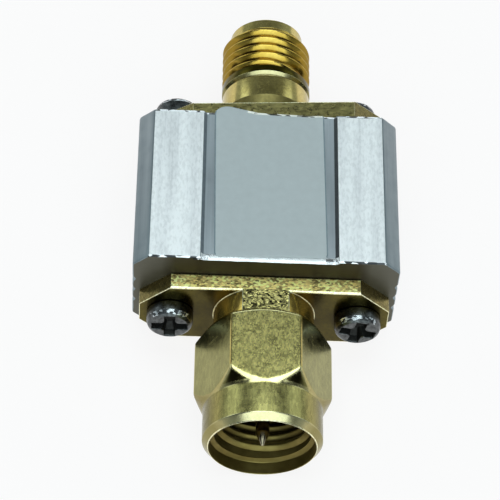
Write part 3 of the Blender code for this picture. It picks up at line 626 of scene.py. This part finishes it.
def housing_look(n, centre, area):
    """Cheeks, recess, sides, sawn ends and the edges of both ends each take their own finish."""
    cheek, band, side, end, burr, corner, torn, wall = range(8)
    left_wall = -4.25
    right_wall = 4.5
    height = centre.z - AXIS
    in_recess = abs(centre.x - RECESS_MIDDLE) < RECESS_HALF and height > 4.6
    if abs(n.y) > 0.97:
        return end
    if in_recess and centre.y < PLUG_FACE + 0.42:
        return burr
    if abs(n.y) > 0.05:
        return side if abs(n.x) > 0.4 else torn
    if n.z > 0.95 and height > 4.8:
        return cheek
    if n.z > 0.3 and abs(centre.x - RECESS_MIDDLE) < RECESS_HALF + 0.1 and height > 4.6:
        # the recess's right wall takes the painted shadow
        if centre.x > right_wall:
            return corner
        return wall if centre.x < left_wall else band
    return side


def build_housing():
    outline = housing_outline()
    sections = []
    for edge, seed, face, inward in ((NEAR_EDGE, 5, PLUG_FACE, 1), (FAR_EDGE, 6, JACK_FACE, -1)):
        factors = uneven(outline, seed)
        for amount, distance in edge:
            sections.append((face + inward * distance, inset(outline, amount * factors)))
    mesh = to_mesh("housing_extrusion", loft(sections))
    looks = (cheek_metal, band_metal, side_metal, end_metal, burr_metal, recess_right_wall_painted_shadow, torn_metal_painted_glints, groove_grey)
    add_piece(mesh, looks, "module", "aluminium", "housing", pick=housing_look, degrees=25.0)
    for face in mesh.polygons:
        if looks[face.material_index] == end_metal:
            face.use_smooth = False


# label; u runs across it and v along it, from the recess's middle
LABEL_HALF = 3.8
LABEL_FRONT = -5.86
LABEL_BACK = 6.05
LABEL_TOP = AXIS + 4.85
LABEL_CORNER = 0.25
LABEL_THICKNESS = 0.1
LABEL_COLUMNS = 40
LABEL_ROWS = 90
LABEL_SIDE_STRIP = 0.09
LABEL_TURN = 0.9


def in_label_corners(u, v):
    """The point moved inwards where it lies in one of the label's round corners."""
    side = LABEL_HALF - LABEL_CORNER
    front = LABEL_FRONT + LABEL_CORNER
    back = LABEL_BACK - LABEL_CORNER
    du = max(0.0, abs(u) - side)
    dv = max(0.0, front - v, v - back)
    if du > 0 and dv > 0:
        reach = math.hypot(du, dv)
        most = max(du, dv)
        u = math.copysign(side + du * most / reach, u)
        v = (back if v > 0 else front) + math.copysign(dv * most / reach, v)
    return u, v


def label_height(u, v):
    """Rounded down along the edges and lifted at both far corners, the left one more widely."""
    edge = min(LABEL_HALF - abs(u), v - LABEL_FRONT, LABEL_BACK - v)
    z = LABEL_TOP - 0.02 * max(0.0, 1 - edge / 0.12) ** 2
    for corner, reach, power in ((-LABEL_HALF, 1.6, 1.3), (LABEL_HALF, 0.9, 1.6)):
        away = math.hypot(u - corner, v - LABEL_BACK)
        z += 0.085 * max(0.0, 1 - away / reach) ** power
    return z


def flap_reach(inward):
    """How far the label's rear edge is pulled out, by the distance from its left edge."""
    hump = soft_least(0.2 + 0.8 * inward, 0.72 - 0.24 * (inward - 0.75), 0.5)
    return max(hump, 0.3 - 0.045 * inward, 0.0)


def label_point(i, j):
    u = -LABEL_HALF + 2 * LABEL_HALF * i / LABEL_COLUMNS
    if i in (1, LABEL_COLUMNS - 1):
        u = math.copysign(LABEL_HALF - LABEL_SIDE_STRIP, u)
    v = LABEL_FRONT + (LABEL_BACK - LABEL_FRONT) * j / LABEL_ROWS
    u, v = in_label_corners(u, v)
    z = label_height(u, v)
    pull = max(0.0, (v - LABEL_BACK + 1.2) / 1.2) ** 2
    return u, v + flap_reach(u + LABEL_HALF) * pull, z


def build_label():
    shape = bmesh.new()
    columns = range(LABEL_COLUMNS + 1)
    grid = [[shape.verts.new(label_point(i, j)) for i in columns] for j in range(LABEL_ROWS + 1)]
    fill_grid(shape, grid)
    rim = [edge for edge in shape.edges if edge.is_boundary]
    for vert in bmesh.ops.extrude_edge_only(shape, edges=rim)["geom"]:
        if isinstance(vert, bmesh.types.BMVert):
            vert.co.z = max(LABEL_TOP - LABEL_THICKNESS, vert.co.z - LABEL_THICKNESS)
    turn = Matrix.Rotation(math.radians(LABEL_TURN), 4, "Z")
    place = Matrix.Translation((RECESS_MIDDLE, MIDDLE, 0)) @ turn
    bmesh.ops.transform(shape, matrix=place, verts=shape.verts[:])
    mesh = to_mesh("label_film", shape, recalc=False)
    looks = (label_film, label_torn_painted_glints, label_side)
    add_piece(mesh, looks, "module", "label_film", "label", degrees=40.0)
    first_torn = (LABEL_ROWS - 1) * LABEL_COLUMNS + 12
    for number, face in enumerate(mesh.polygons[:LABEL_ROWS * LABEL_COLUMNS]):
        if number % LABEL_COLUMNS in (0, LABEL_COLUMNS - 1):
            face.material_index = 2
        elif number >= first_torn:
            face.material_index = 1


def build_burrs():
    """Two torn curls of metal, one at each end of the recess's near edge."""
    rng = np.random.default_rng(11)
    shape = bmesh.new()
    high = 0.09
    jolt = 0.035
    last_row = 4
    last_column = 14
    for middle, width in ((-4.42, 1.0), (4.35, 0.9)):
        grid = []
        for j in range(last_row + 1):
            row = []
            for i in range(last_column + 1):
                lift = high * math.sin(math.pi * j / last_row) * math.sin(math.pi * i / last_column)
                dx, dy, dz = rng.uniform(-jolt, jolt, 3)
                x = middle + width * (i / last_column - 0.5) + dx
                y = PLUG_FACE - 0.03 + 0.09 * j + dy
                row.append(shape.verts.new((x, y, AXIS + 4.78 + lift + dz)))
            grid.append(row)
        fill_grid(shape, grid)
    mesh = to_mesh("edge_burrs", shape)
    mesh.materials.append(torn_metal_painted_glints)
    item = new_object("edge_burrs", mesh)
    step = item.modifiers.new("thickness", "SOLIDIFY")
    step.thickness = 0.03 * MM
    dress(item, "module", "aluminium")


# flanges
FLANGE_HALF = 8.45
FLANGE_HALF_HEIGHT = 3.05
FLANGE_CUT = 2.1
JACK_FLANGE_LEFT_CUT = 3.45
JACK_FLANGE_TURN = 4.2
BOSS_RADIUS = 3.42
BOSS_END = 2.9
BOSS_LOOK_START = 1.5
SHARP = 25.0


def octagon(left_cut=FLANGE_CUT, turn=0.0):
    """A flange with cut corners; left_cut is how far the upper left cut runs along the top."""
    w = FLANGE_HALF
    h = FLANGE_HALF_HEIGHT
    cut = FLANGE_CUT
    points = [(-w, cut - h), (cut - w, -h), (w - cut, -h), (w, cut - h),
              (w, h - cut), (w - cut, h), (left_cut - w, h), (-w, h - cut)]
    return rotated(points, turn)


def flat_sided_circle(radius, half, steps=36):
    """A circle cut flat above and below, at half from its centre."""
    out = []
    limit = math.asin(half / radius)
    for side in (0.0, math.pi):
        for k in range(steps + 1):
            angle = side - limit + 2 * limit * k / steps
            out.append((radius * math.cos(angle), radius * math.sin(angle)))
    return out


def flange_look(n, centre, area):
    """End faces, the boss's flats, the flange's top, its cut corners and the round boss."""
    boss, top, face, flat, cut = 0, 1, 2, 3, 5
    if abs(n.y) > 0.9:
        return face
    if abs(n.z) > 0.9:
        return flat if centre.y < PLUG_FACE - PLUG_FLANGE_THICKNESS else top
    return cut if area > 0.6 else boss


def cut_across(mesh, y):
    """The faces of the mesh divided where they cross a plane at y, with no change of shape."""
    shape = bmesh.new()
    shape.from_mesh(mesh)
    everything = shape.verts[:] + shape.edges[:] + shape.faces[:]
    bmesh.ops.bisect_plane(shape, geom=everything, plane_co=(0.0, y * MM, 0.0), plane_no=(0.0, 1.0, 0.0))
    shape.to_mesh(mesh)
    shape.free()


def bevel_weight(edge):
    """Wide along a flange's long edges, narrow elsewhere, narrowest on edges along the axis."""
    if edge.calc_face_angle(0.0) <= math.radians(SHARP):
        return 0.0
    span = (edge.verts[1].co - edge.verts[0].co) / MM
    if abs(span.y) > 0.5:
        return 0.1
    return 1.0 if abs(span.x) > 2.0 and abs(span.z) < 1.0 else 0.35


def add_flange(mesh, top, face, bevel, node):
    looks = (gold_boss, top, face, gold_speckled, gold_painted_highlight, gold_cut_painted_shade)
    item = add_piece(mesh, looks, "module", "gold_plate", node, pick=flange_look, degrees=SHARP)
    shape = bmesh.new()
    shape.from_mesh(mesh)
    values = [bevel_weight(edge) for edge in shape.edges]
    shape.free()
    mesh.attributes.new("bevel_weight_edge", "FLOAT", "EDGE").data.foreach_set("value", values)
    # the rounded edges take the painted highlight
    edge_bevel(item, bevel, segments=4, look=looks.index(gold_painted_highlight))


def build_plug_body():
    flange = loft([(y, octagon()) for y in (PLUG_FACE - PLUG_FLANGE_THICKNESS, PLUG_FACE)])
    outline = flat_sided_circle(BOSS_RADIUS, FLANGE_HALF_HEIGHT)
    boss = loft([(y, outline) for y in (PLUG_FACE - BOSS_END, PLUG_FACE - 0.4)])
    mesh = boolean("plug_flange", flange, boss, "UNION")
    cut_across(mesh, PLUG_FACE - BOSS_LOOK_START)
    # its end faces take painted shade
    add_flange(mesh, gold_top_painted_highlight, gold_face_painted_shade, 0.13, "plug_body")


def build_plug_neck():
    """The outer conductor, then the neck with its ring groove, down into the boss."""
    conductor = 2.3
    end = 8.3
    neck = 2.9
    neck_end = 4.85
    groove = 2.5
    groove_start = 3.5
    groove_end = 4.1
    profile = [(BORE_RADIUS, 0.2), (BORE_RADIUS, end), (conductor - 0.06, end, 0.05),
               (conductor, end - 0.12, 0.04), (conductor, neck_end, 0.04), (neck - 0.1, neck_end, 0.05),
               (neck, neck_end - 0.12, 0.05), (neck, groove_end, 0.03), (groove, groove_end, 0.03),
               (groove, groove_start, 0.03), (neck, groove_start, 0.03), (neck, 2.6)]
    shape = lathe(rounded(profile, steps=3), PLUG_FACE, -1)
    add_piece(to_mesh("plug_neck", shape), [gold_bore_painted_shade], "module", "gold_plate")


# coupling nut
NUT_HALF = 4.0
NUT_START = 3.1
NUT_STEPS = 360
COLLAR_RADIUS = 3.97
MOUTH_RADIUS = 3.52
NUT_END = 11.5


def hexagon_radius(angle):
    """Radius of the nut's hexagon at an angle, with slightly rounded corners."""
    part = (math.degrees(angle) - 30.0) % 60.0
    first, second = (NUT_HALF / math.cos(math.radians(off)) for off in (part, 60.0 - part))
    return soft_least(first, second, 0.09)


def nut_outside(along):
    """Radius of the turned shape that trims the hexagon: both chamfers."""
    front = COLLAR_RADIUS + (8.77 - along) * 0.62
    back = 3.9 + (along - NUT_START) * 1.6
    return min(front, back)


def nut_radii(along, hexagon):
    """The trimmed hexagon's radii at a station, run out into the collar at the front."""
    limit = nut_outside(along)
    if along <= 5:
        return [soft_least(radius, limit, 0.36) for radius in hexagon]
    radii = [soft_least(radius, limit, 0.2) for radius in hexagon]
    return [min(full, -soft_least(-radius, -COLLAR_RADIUS, 0.07)) for full, radius in zip(hexagon, radii)]


def nut_look(n, centre, area):
    """Flats, corners and chamfers of the hexagon, the collar, its rim and the inside."""
    edge, flat, inner, side, collar, cone, rim, corner, line = range(9)
    along = PLUG_FACE - centre.y
    reach = math.hypot(centre.x, centre.z - AXIS)
    if reach < MOUTH_RADIUS + 0.04 and along > 3.2:
        return inner
    if along > 8.8:
        # the mouth's inner edge takes the painted highlight
        if along > 11.4 and reach < 3.61:
            return line
        return collar if along < 10.95 else rim
    if 0.4 < abs(n.y) < 0.6 and reach > 4.1:
        return cone
    if abs(n.y) > 0.1:
        return edge
    off_flat = abs((math.degrees(math.atan2(n.z, n.x)) % 60.0) - 30.0)
    if off_flat > 5.0:
        return corner
    # the side flats take painted shade
    return flat if abs(n.z) > 0.9 else side


def build_nut():
    angles = [2 * math.pi * k / NUT_STEPS for k in range(NUT_STEPS)]
    hexagon = [hexagon_radius(angle) for angle in angles]
    back_chamfer = [NUT_START + 0.6 * (k / 12) for k in range(13)]
    front_chamfer = [7.2 + 1.9 * k / 50 for k in range(51)]
    stations = back_chamfer + [4.2, 5.0, 6.0, 6.9] + front_chamfer
    rings = [(along, nut_radii(along, hexagon)) for along in stations]
    relief = 3.25
    thread_root = 3.2
    lip = 2.95
    lip_end = 4.6
    inside = [(COLLAR_RADIUS, 9.3), (COLLAR_RADIUS, 11.03, 0.12), (3.6, 11.42, 0.08), (3.57, NUT_END, 0.03),
              (3.53, 11.42, 0.05), (MOUTH_RADIUS, 10.6, 0.1), (thread_root, 10.45), (thread_root, 5.9),
              (relief, 5.85), (relief, lip_end), (lip, lip_end), (lip, 3.2, 0.05), (lip + 0.1, NUT_START)]
    rings += [(along, [radius] * NUT_STEPS) for radius, along in rounded(inside, steps=5)]
    sections = []
    for along, radii in rings:
        outline = [(r * math.cos(angle), r * math.sin(angle)) for r, angle in zip(radii, angles)]
        sections.append((PLUG_FACE - along, outline))
    mesh = to_mesh("coupling_nut_body", loft(sections, closed=True))
    looks = (gold_edge_painted_highlight, gold_flat, gold_bore_painted_shade, gold_nut_side_painted_shade, gold_collar, gold_cone, gold_rim_painted_highlight, gold, gold_painted_highlight)
    add_piece(mesh, looks, "nut", "gold_plate", "coupling_nut", pick=nut_look, degrees=28.0)


def build_nut_thread():
    shape = helix(3.22, 2.86, PLUG_FACE, -1, 6.0, 10.5)
    add_piece(to_mesh("coupling_nut_thread", shape), [gold_bore_painted_shade], "nut", "gold_plate", degrees=40.0)


def build_pin():
    point = 11.3
    radius = 0.457
    shoulder = 8.2
    profile = [(0.0, point), (0.05, point - 0.01), (0.1, point - 0.06), (radius, point - 0.9, 0.15),
               (radius, shoulder + 0.05), (CONTACT_RADIUS, shoulder, 0.03), (CONTACT_RADIUS, CONTACT_ROOT),
               (0.0, CONTACT_ROOT)]
    shape = lathe(rounded(profile), PLUG_FACE, -1, steps=48)
    add_piece(to_mesh("plug_pin_turned", shape), [contact_gold], "module", "contact_gold", "plug_pin")


# jack
def build_jack_flange():
    outline = octagon(JACK_FLANGE_LEFT_CUT, JACK_FLANGE_TURN)
    shape = loft([(y, outline) for y in (JACK_FACE, JACK_FACE + JACK_FLANGE_THICKNESS)])
    # the far flange's top takes painted shade
    add_flange(to_mesh("jack_flange", shape), gold_far_painted_shade, gold_back, 0.1, "jack_body")


def barrel_look(n, centre, area):
    """Bore, foot, thread, the shoulder where the thread starts and the ring before it."""
    plain, thread, inner, root, ring, shoulder = range(6)
    along = centre.y - JACK_FACE
    if math.hypot(centre.x, centre.z - AXIS) < 2.4:
        return inner
    if along < 3.1:
        return root
    if 4.9 < along < 5.19:
        return ring
    if 5.19 < along < 5.72:
        return shoulder
    return thread if 4.85 < along < 9.6 else plain


def build_barrel():
    """From the bore out over the mouth and the pilot, along the thread and down to the flange."""
    bore_end = 8.52
    mouth = 2.3
    pilot = 2.62
    end = 10.45
    thread_root = 2.78
    neck = 2.92
    barrel = 3.13
    profile = [(BORE_RADIUS, 0.2), (BORE_RADIUS, bore_end), (mouth, bore_end), (mouth, end - 0.15, 0.05),
               (mouth + 0.12, end, 0.03), (pilot - 0.12, end, 0.04), (pilot, end - 0.12, 0.05),
               (pilot, 9.62, 0.05), (thread_root, 9.45), (thread_root, 5.98, 0.05),
               (THREAD_RADIUS, 5.7, 0.03), (THREAD_RADIUS, 5.17, 0.03), (neck, 4.96, 0.03),
               (neck, 4.83, 0.03), (barrel - 0.05, 4.83, 0.03), (barrel, 4.77, 0.03),
               (barrel, 3.05, 0.12), (2.8, 2.42, 0.05), (2.95, 2.39)]
    shape = lathe(rounded(profile), JACK_FACE, 1, steps=144)
    looks = (gold, gold_thread_painted_highlight, gold_bore_painted_shade, gold_root_painted_shade, gold_rim_painted_highlight, gold_face_painted_shade)
    add_piece(to_mesh("jack_barrel", shape), looks, "module", "gold_plate", pick=barrel_look)


def build_jack_thread():
    shape = helix(2.76, THREAD_RADIUS, JACK_FACE, 1, 5.6, 9.66, width=0.92, flat=0.12)
    add_piece(to_mesh("jack_thread", shape), [gold_thread_painted_highlight], "module", "gold_plate", degrees=40.0)


def build_contact():
    """The jack's socket contact, split crosswise at its end."""
    end = 8.5
    bore = 0.47
    slit_half = 0.08
    slit_reach = 1.4
    profile = [(CONTACT_RADIUS, CONTACT_ROOT), (CONTACT_RADIUS, end - 0.06, 0.04),
               (CONTACT_RADIUS - 0.06, end, 0.02), (0.5, end, 0.02), (bore, end - 0.05), (bore, end - 3.0),
               (0.0, end - 3.2)]
    shape = lathe([(0.0, CONTACT_ROOT)] + rounded(profile), JACK_FACE, 1, steps=64)
    cross = bmesh.new()
    for w, h in ((slit_reach, slit_half), (slit_half, slit_reach)):
        outline = [(-w, -h), (w, -h), (w, h), (-w, h)]
        loft([(y, outline) for y in (JACK_FACE + end - 2.2, JACK_FACE + end + 1)], shape=cross)
    mesh = boolean("jack_contact_slotted", shape, cross, "DIFFERENCE")
    add_piece(mesh, [contact_gold], "module", "contact_gold", "jack_contact")


# screws
# each level of the cross recess as (arm, half width of an arm, fillet, height above the head's top)
CROSS_LEVELS = ((1.32, 0.43, 0.2, 0.25), (1.17, 0.36, 0.17, -0.1), (1.05, 0.31, 0.14, -0.5),
                (0.55, 0.2, 0.1, -0.8))


def cross_outline(arm, half, fillet, turn):
    """The outline of a cross recess whose inner corners are cut off, turned by degrees."""
    quarter = [(arm, -half), (arm, half), (half + fillet, half), (half, half + fillet)]
    return [point for step in range(4) for point in rotated(quarter, 90.0 * step - turn)]


def screw_shape(x, base, side, length, height):
    head = 1.58
    shank = 0.78
    profile = [(0.0, -length), (shank - 0.12, -length), (shank, -length + 0.12), (shank, 0.0),
               (head - 0.08, 0.0), (head, 0.06, 0.05), (head, height - 0.42, 0.25),
               (head - 0.11, height - 0.16, 0.2), (head - 0.32, height - 0.01, 0.12), (0.0, height)]
    return lathe(rounded(profile), base, side, steps=72, centre=x)


def cross_shape(x, base, side, height, turn):
    sections = []
    for arm, half, fillet, level in CROSS_LEVELS:
        sections.append((base + side * (height + level), cross_outline(arm, half, fillet, turn)))
    return loft(sections, x)


def build_screw(number, x, face, side, thickness, length, height, turn):
    """A pan head screw on a flange; side is the direction in which its head points."""
    base = face + side * thickness
    head = screw_shape(x, base, side, length, height)
    cross = cross_shape(x, base, side, height, turn)
    mesh = boolean(f"pan_screw_{number}", head, cross, "DIFFERENCE")
    looks = (steel, recess_steel_painted_shade, steel_shoulder_painted_glints)

    def pick(n, centre, area):
        plain, recess, shoulder = range(3)
        reach = math.hypot(centre.x - x, centre.z - AXIS)
        below = height - side * (centre.y - base)
        # the cross recess takes painted shade
        if reach < 1.25 and 0.03 < below < 0.95 and (abs(n.y) < 0.9 or below > 0.5):
            return recess
        # the shoulder's white flecks are painted glints
        return shoulder if reach > 1.4 and 0.11 < below < 0.42 and centre.z > AXIS + 0.95 else plain

    item = add_piece(mesh, looks, "module", "screw_steel", f"screw_{number}", pick=pick, degrees=30.0)
    edge_bevel(item, 0.04)


def build_screws():
    near = (PLUG_FACE, -1, PLUG_FLANGE_THICKNESS, 4.0)
    far = (JACK_FACE, 1, JACK_FLANGE_THICKNESS, 5.0)
    build_screw(1, -SCREW_OFFSET, *near, height=1.15, turn=0.0)
    build_screw(2, SCREW_OFFSET, *near, height=1.15, turn=12.0)
    build_screw(3, -SCREW_OFFSET, *far, height=1.42, turn=31.0)
    build_screw(4, SCREW_OFFSET, *far, height=1.7, turn=58.0)


# insulators and gasket
def build_ring(name, node, profile, base, side, look, slot):
    shape = lathe(rounded(profile, closed=True, steps=3), base, side, steps=96, closed=True)
    add_piece(to_mesh(name, shape), [look], "module", slot, node)


def build_insulator(name, node, end, base, side):
    hole = CONTACT_RADIUS + 0.01
    outside = BORE_RADIUS - 0.01
    profile = [(hole, 0.0), (hole, end, 0.02), (outside, end, 0.05), (outside, 0.0)]
    build_ring(name, node, profile, base, side, fluoropolymer, "white_plastic")


def build_gasket():
    profile = [(2.31, 4.86, 0.05), (2.31, 5.66, 0.1), (3.1, 5.66, 0.25), (3.1, 4.86, 0.25)]
    build_ring("gasket_ring", "gasket", profile, PLUG_FACE, -1, silicone, "silicone")


# finishes of the pieces that need no finer form
KEPT_PIECES = (
    (spring_metal, ["snap_ring"]),
    (laminate, ["circuit_board"]),
    (copper, ["input_trace", "output_trace", "ground_foil"]),
    (ceramic, ["package"]),
    (crystal_look, ["crystal"]),
    (lid_metal, ["lid"]),
    (contact_gold, ["bond_wire_1", "bond_wire_2"]),
    (coil_body, ["coil_1", "coil_2"]),
    (capacitor_body, ["capacitor_1", "capacitor_2"]),
    (solder_look, ["solder_joint_1", "solder_joint_2"]),
)

build_housing()
build_label()
build_burrs()
build_plug_body()
build_plug_neck()
build_nut()
build_nut_thread()
build_pin()
build_jack_flange()
build_barrel()
build_jack_thread()
build_contact()
build_insulator("plug_dielectric", "plug_insulator", 8.28, PLUG_FACE, -1)
build_insulator("jack_dielectric", "jack_insulator", 8.5, JACK_FACE, 1)
build_gasket()
build_screws()
for look, nodes in KEPT_PIECES:
    for node in nodes:
        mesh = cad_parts[node].data
        mesh.materials.clear()
        mesh.materials.append(look)

# studio
FLOOR_COLOUR = (0.97, 0.9, 0.885)
FLOOR_GLOW = 0.86
FLOOR_DROP = 0.02
LAMP_COLOUR = (0.86, 1.0, 1.03)
SKY_LEVELS = ((0.0, 0.42), (0.25, 0.32), (0.6, 0.18), (0.8, 0.1), (1.0, 0.1))
DARK_PATCH = (0.68, -0.39, 0.62)
LENS = 161.4
CAMERA_DISTANCE = 155.0
CAMERA_AZIMUTH = -3.237
CAMERA_ELEVATION = 55.557
CAMERA_ROLL = 4.716
AIM_DEPTH = 4.0
AIM_RIGHT = -0.993
AIM_UP = 0.079


def floor_finish():
    """Matt and off-white for the light it passes on, nearly white where it is seen or mirrored."""
    finish = Finish("studio_floor")
    finish.tree.nodes.remove(finish.shader)
    output = [node for node in finish.tree.nodes if node.type == "OUTPUT_MATERIAL"][0]
    diffuse = finish.node("ShaderNodeBsdfDiffuse", {"Color": FLOOR_COLOUR}).outputs[0]
    glow = finish.node("ShaderNodeEmission", {"Color": (1.0, 1.0, 1.0)}).outputs[0]
    path = finish.node("ShaderNodeLightPath").outputs
    mirrored = finish.arithmetic("MAXIMUM", path["Is Glossy Ray"], path["Is Transmission Ray"])
    seen = finish.arithmetic("MAXIMUM", path["Is Camera Ray"], mirrored)
    share = finish.arithmetic("MULTIPLY", seen, FLOOR_GLOW)
    mix = finish.node("ShaderNodeMixShader", {0: share, 1: diffuse, 2: glow})
    finish.feed(output.inputs["Surface"], mix.outputs[0])
    return finish.material


def build_floor():
    shape = bmesh.new()
    size = 1500.0
    corners = ((-size, -size), (size, -size), (size, size), (-size, size))
    shape.faces.new([shape.verts.new((x, y, -FLOOR_DROP)) for x, y in corners])
    mesh = to_mesh("studio_floor", shape, recalc=False)
    mesh.materials.append(floor_finish())
    new_object("studio_floor", mesh)


def build_world():
    """A soft sky: palest at the horizon, dim overhead, dark halfway up on each side of the front."""
    world = bpy.data.worlds.new("studio")
    scene.world = world
    world.use_nodes = True
    sky = Nodes(world.node_tree)
    direction = sky.split(sky.node("ShaderNodeTexCoord").outputs["Generated"])
    stops = [(at, (level * 0.86, level, level * 1.03)) for at, level in SKY_LEVELS]
    colour = sky.ramp(direction["Z"], stops)
    across = sky.arithmetic("ABSOLUTE", direction["X"])
    folded = sky.node("ShaderNodeCombineXYZ", {"X": across, "Y": direction["Y"], "Z": direction["Z"]})
    inputs = {0: folded.outputs[0], 1: DARK_PATCH}
    toward = sky.node("ShaderNodeVectorMath", inputs, operation="DOT_PRODUCT").outputs["Value"]
    inputs = {0: colour, "Scale": sky.grey(toward, 1.0, 0.03, 0.87, 0.96)}
    shaded = sky.node("ShaderNodeVectorMath", inputs, operation="SCALE").outputs["Vector"]
    background = world.node_tree.nodes["Background"]
    sky.feed(background.inputs["Color"], shaded)


def direction_of(azimuth, elevation):
    """The direction from the object at degrees to the right of the front and above the floor."""
    a = math.radians(azimuth)
    e = math.radians(elevation)
    return Vector((math.sin(a) * math.cos(e), -math.cos(a) * math.cos(e), math.sin(e)))


def softbox(name, azimuth, elevation, distance, width, height, radiance):
    """An area lamp seen from the object at the given direction; radiance 1 is white."""
    data = bpy.data.lights.new(name, "AREA")
    data.shape = "RECTANGLE"
    data.size = width
    data.size_y = height
    data.energy = radiance * math.pi * width * height
    data.color = LAMP_COLOUR
    item = new_object(name, data)
    direction = direction_of(azimuth, elevation)
    item.location = direction * distance + Vector((0, 0, AXIS * MM))
    item.rotation_euler = direction.to_track_quat("Z", "Y").to_euler()
    item.visible_camera = False


def build_camera():
    """The photo's view: a long lens from above the plug, slightly rolled."""
    azimuth = math.radians(CAMERA_AZIMUTH)
    roll = math.radians(CAMERA_ROLL)
    toward = direction_of(CAMERA_AZIMUTH, CAMERA_ELEVATION)
    up = toward.cross(Vector((math.cos(azimuth), math.sin(azimuth), 0.0))).normalized()
    right = up.cross(toward)
    image_right = right * math.cos(roll) + up * math.sin(roll)
    image_up = up * math.cos(roll) - right * math.sin(roll)
    target = Vector((0.0, AIM_DEPTH + PLUG_FACE, AXIS)) + right * AIM_RIGHT + up * AIM_UP
    place = (target + toward * CAMERA_DISTANCE) * MM
    data = bpy.data.cameras.new("photo_view")
    data.sensor_fit = "HORIZONTAL"
    data.sensor_width = 36.0
    data.lens = LENS
    data.clip_start = 0.01
    data.clip_end = 20.0
    item = new_object("photo_view", data)
    turn = Matrix((image_right, image_up, toward)).transposed().to_4x4()
    item.matrix_world = Matrix.Translation(place) @ turn
    scene.camera = item


build_floor()
build_world()
softbox("key", 180.0, 86.0, 0.5, 0.42, 0.36, 2.3)
softbox("front", 3.0, 35.0, 0.6, 0.76, 0.66, 1.6)
softbox("back", 180.0, 20.0, 0.6, 0.3, 0.24, 1.2)
softbox("left", -112.0, 27.0, 0.6, 0.46, 0.24, 0.84)
softbox("right", 112.0, 27.0, 0.6, 0.46, 0.24, 0.72)
build_camera()
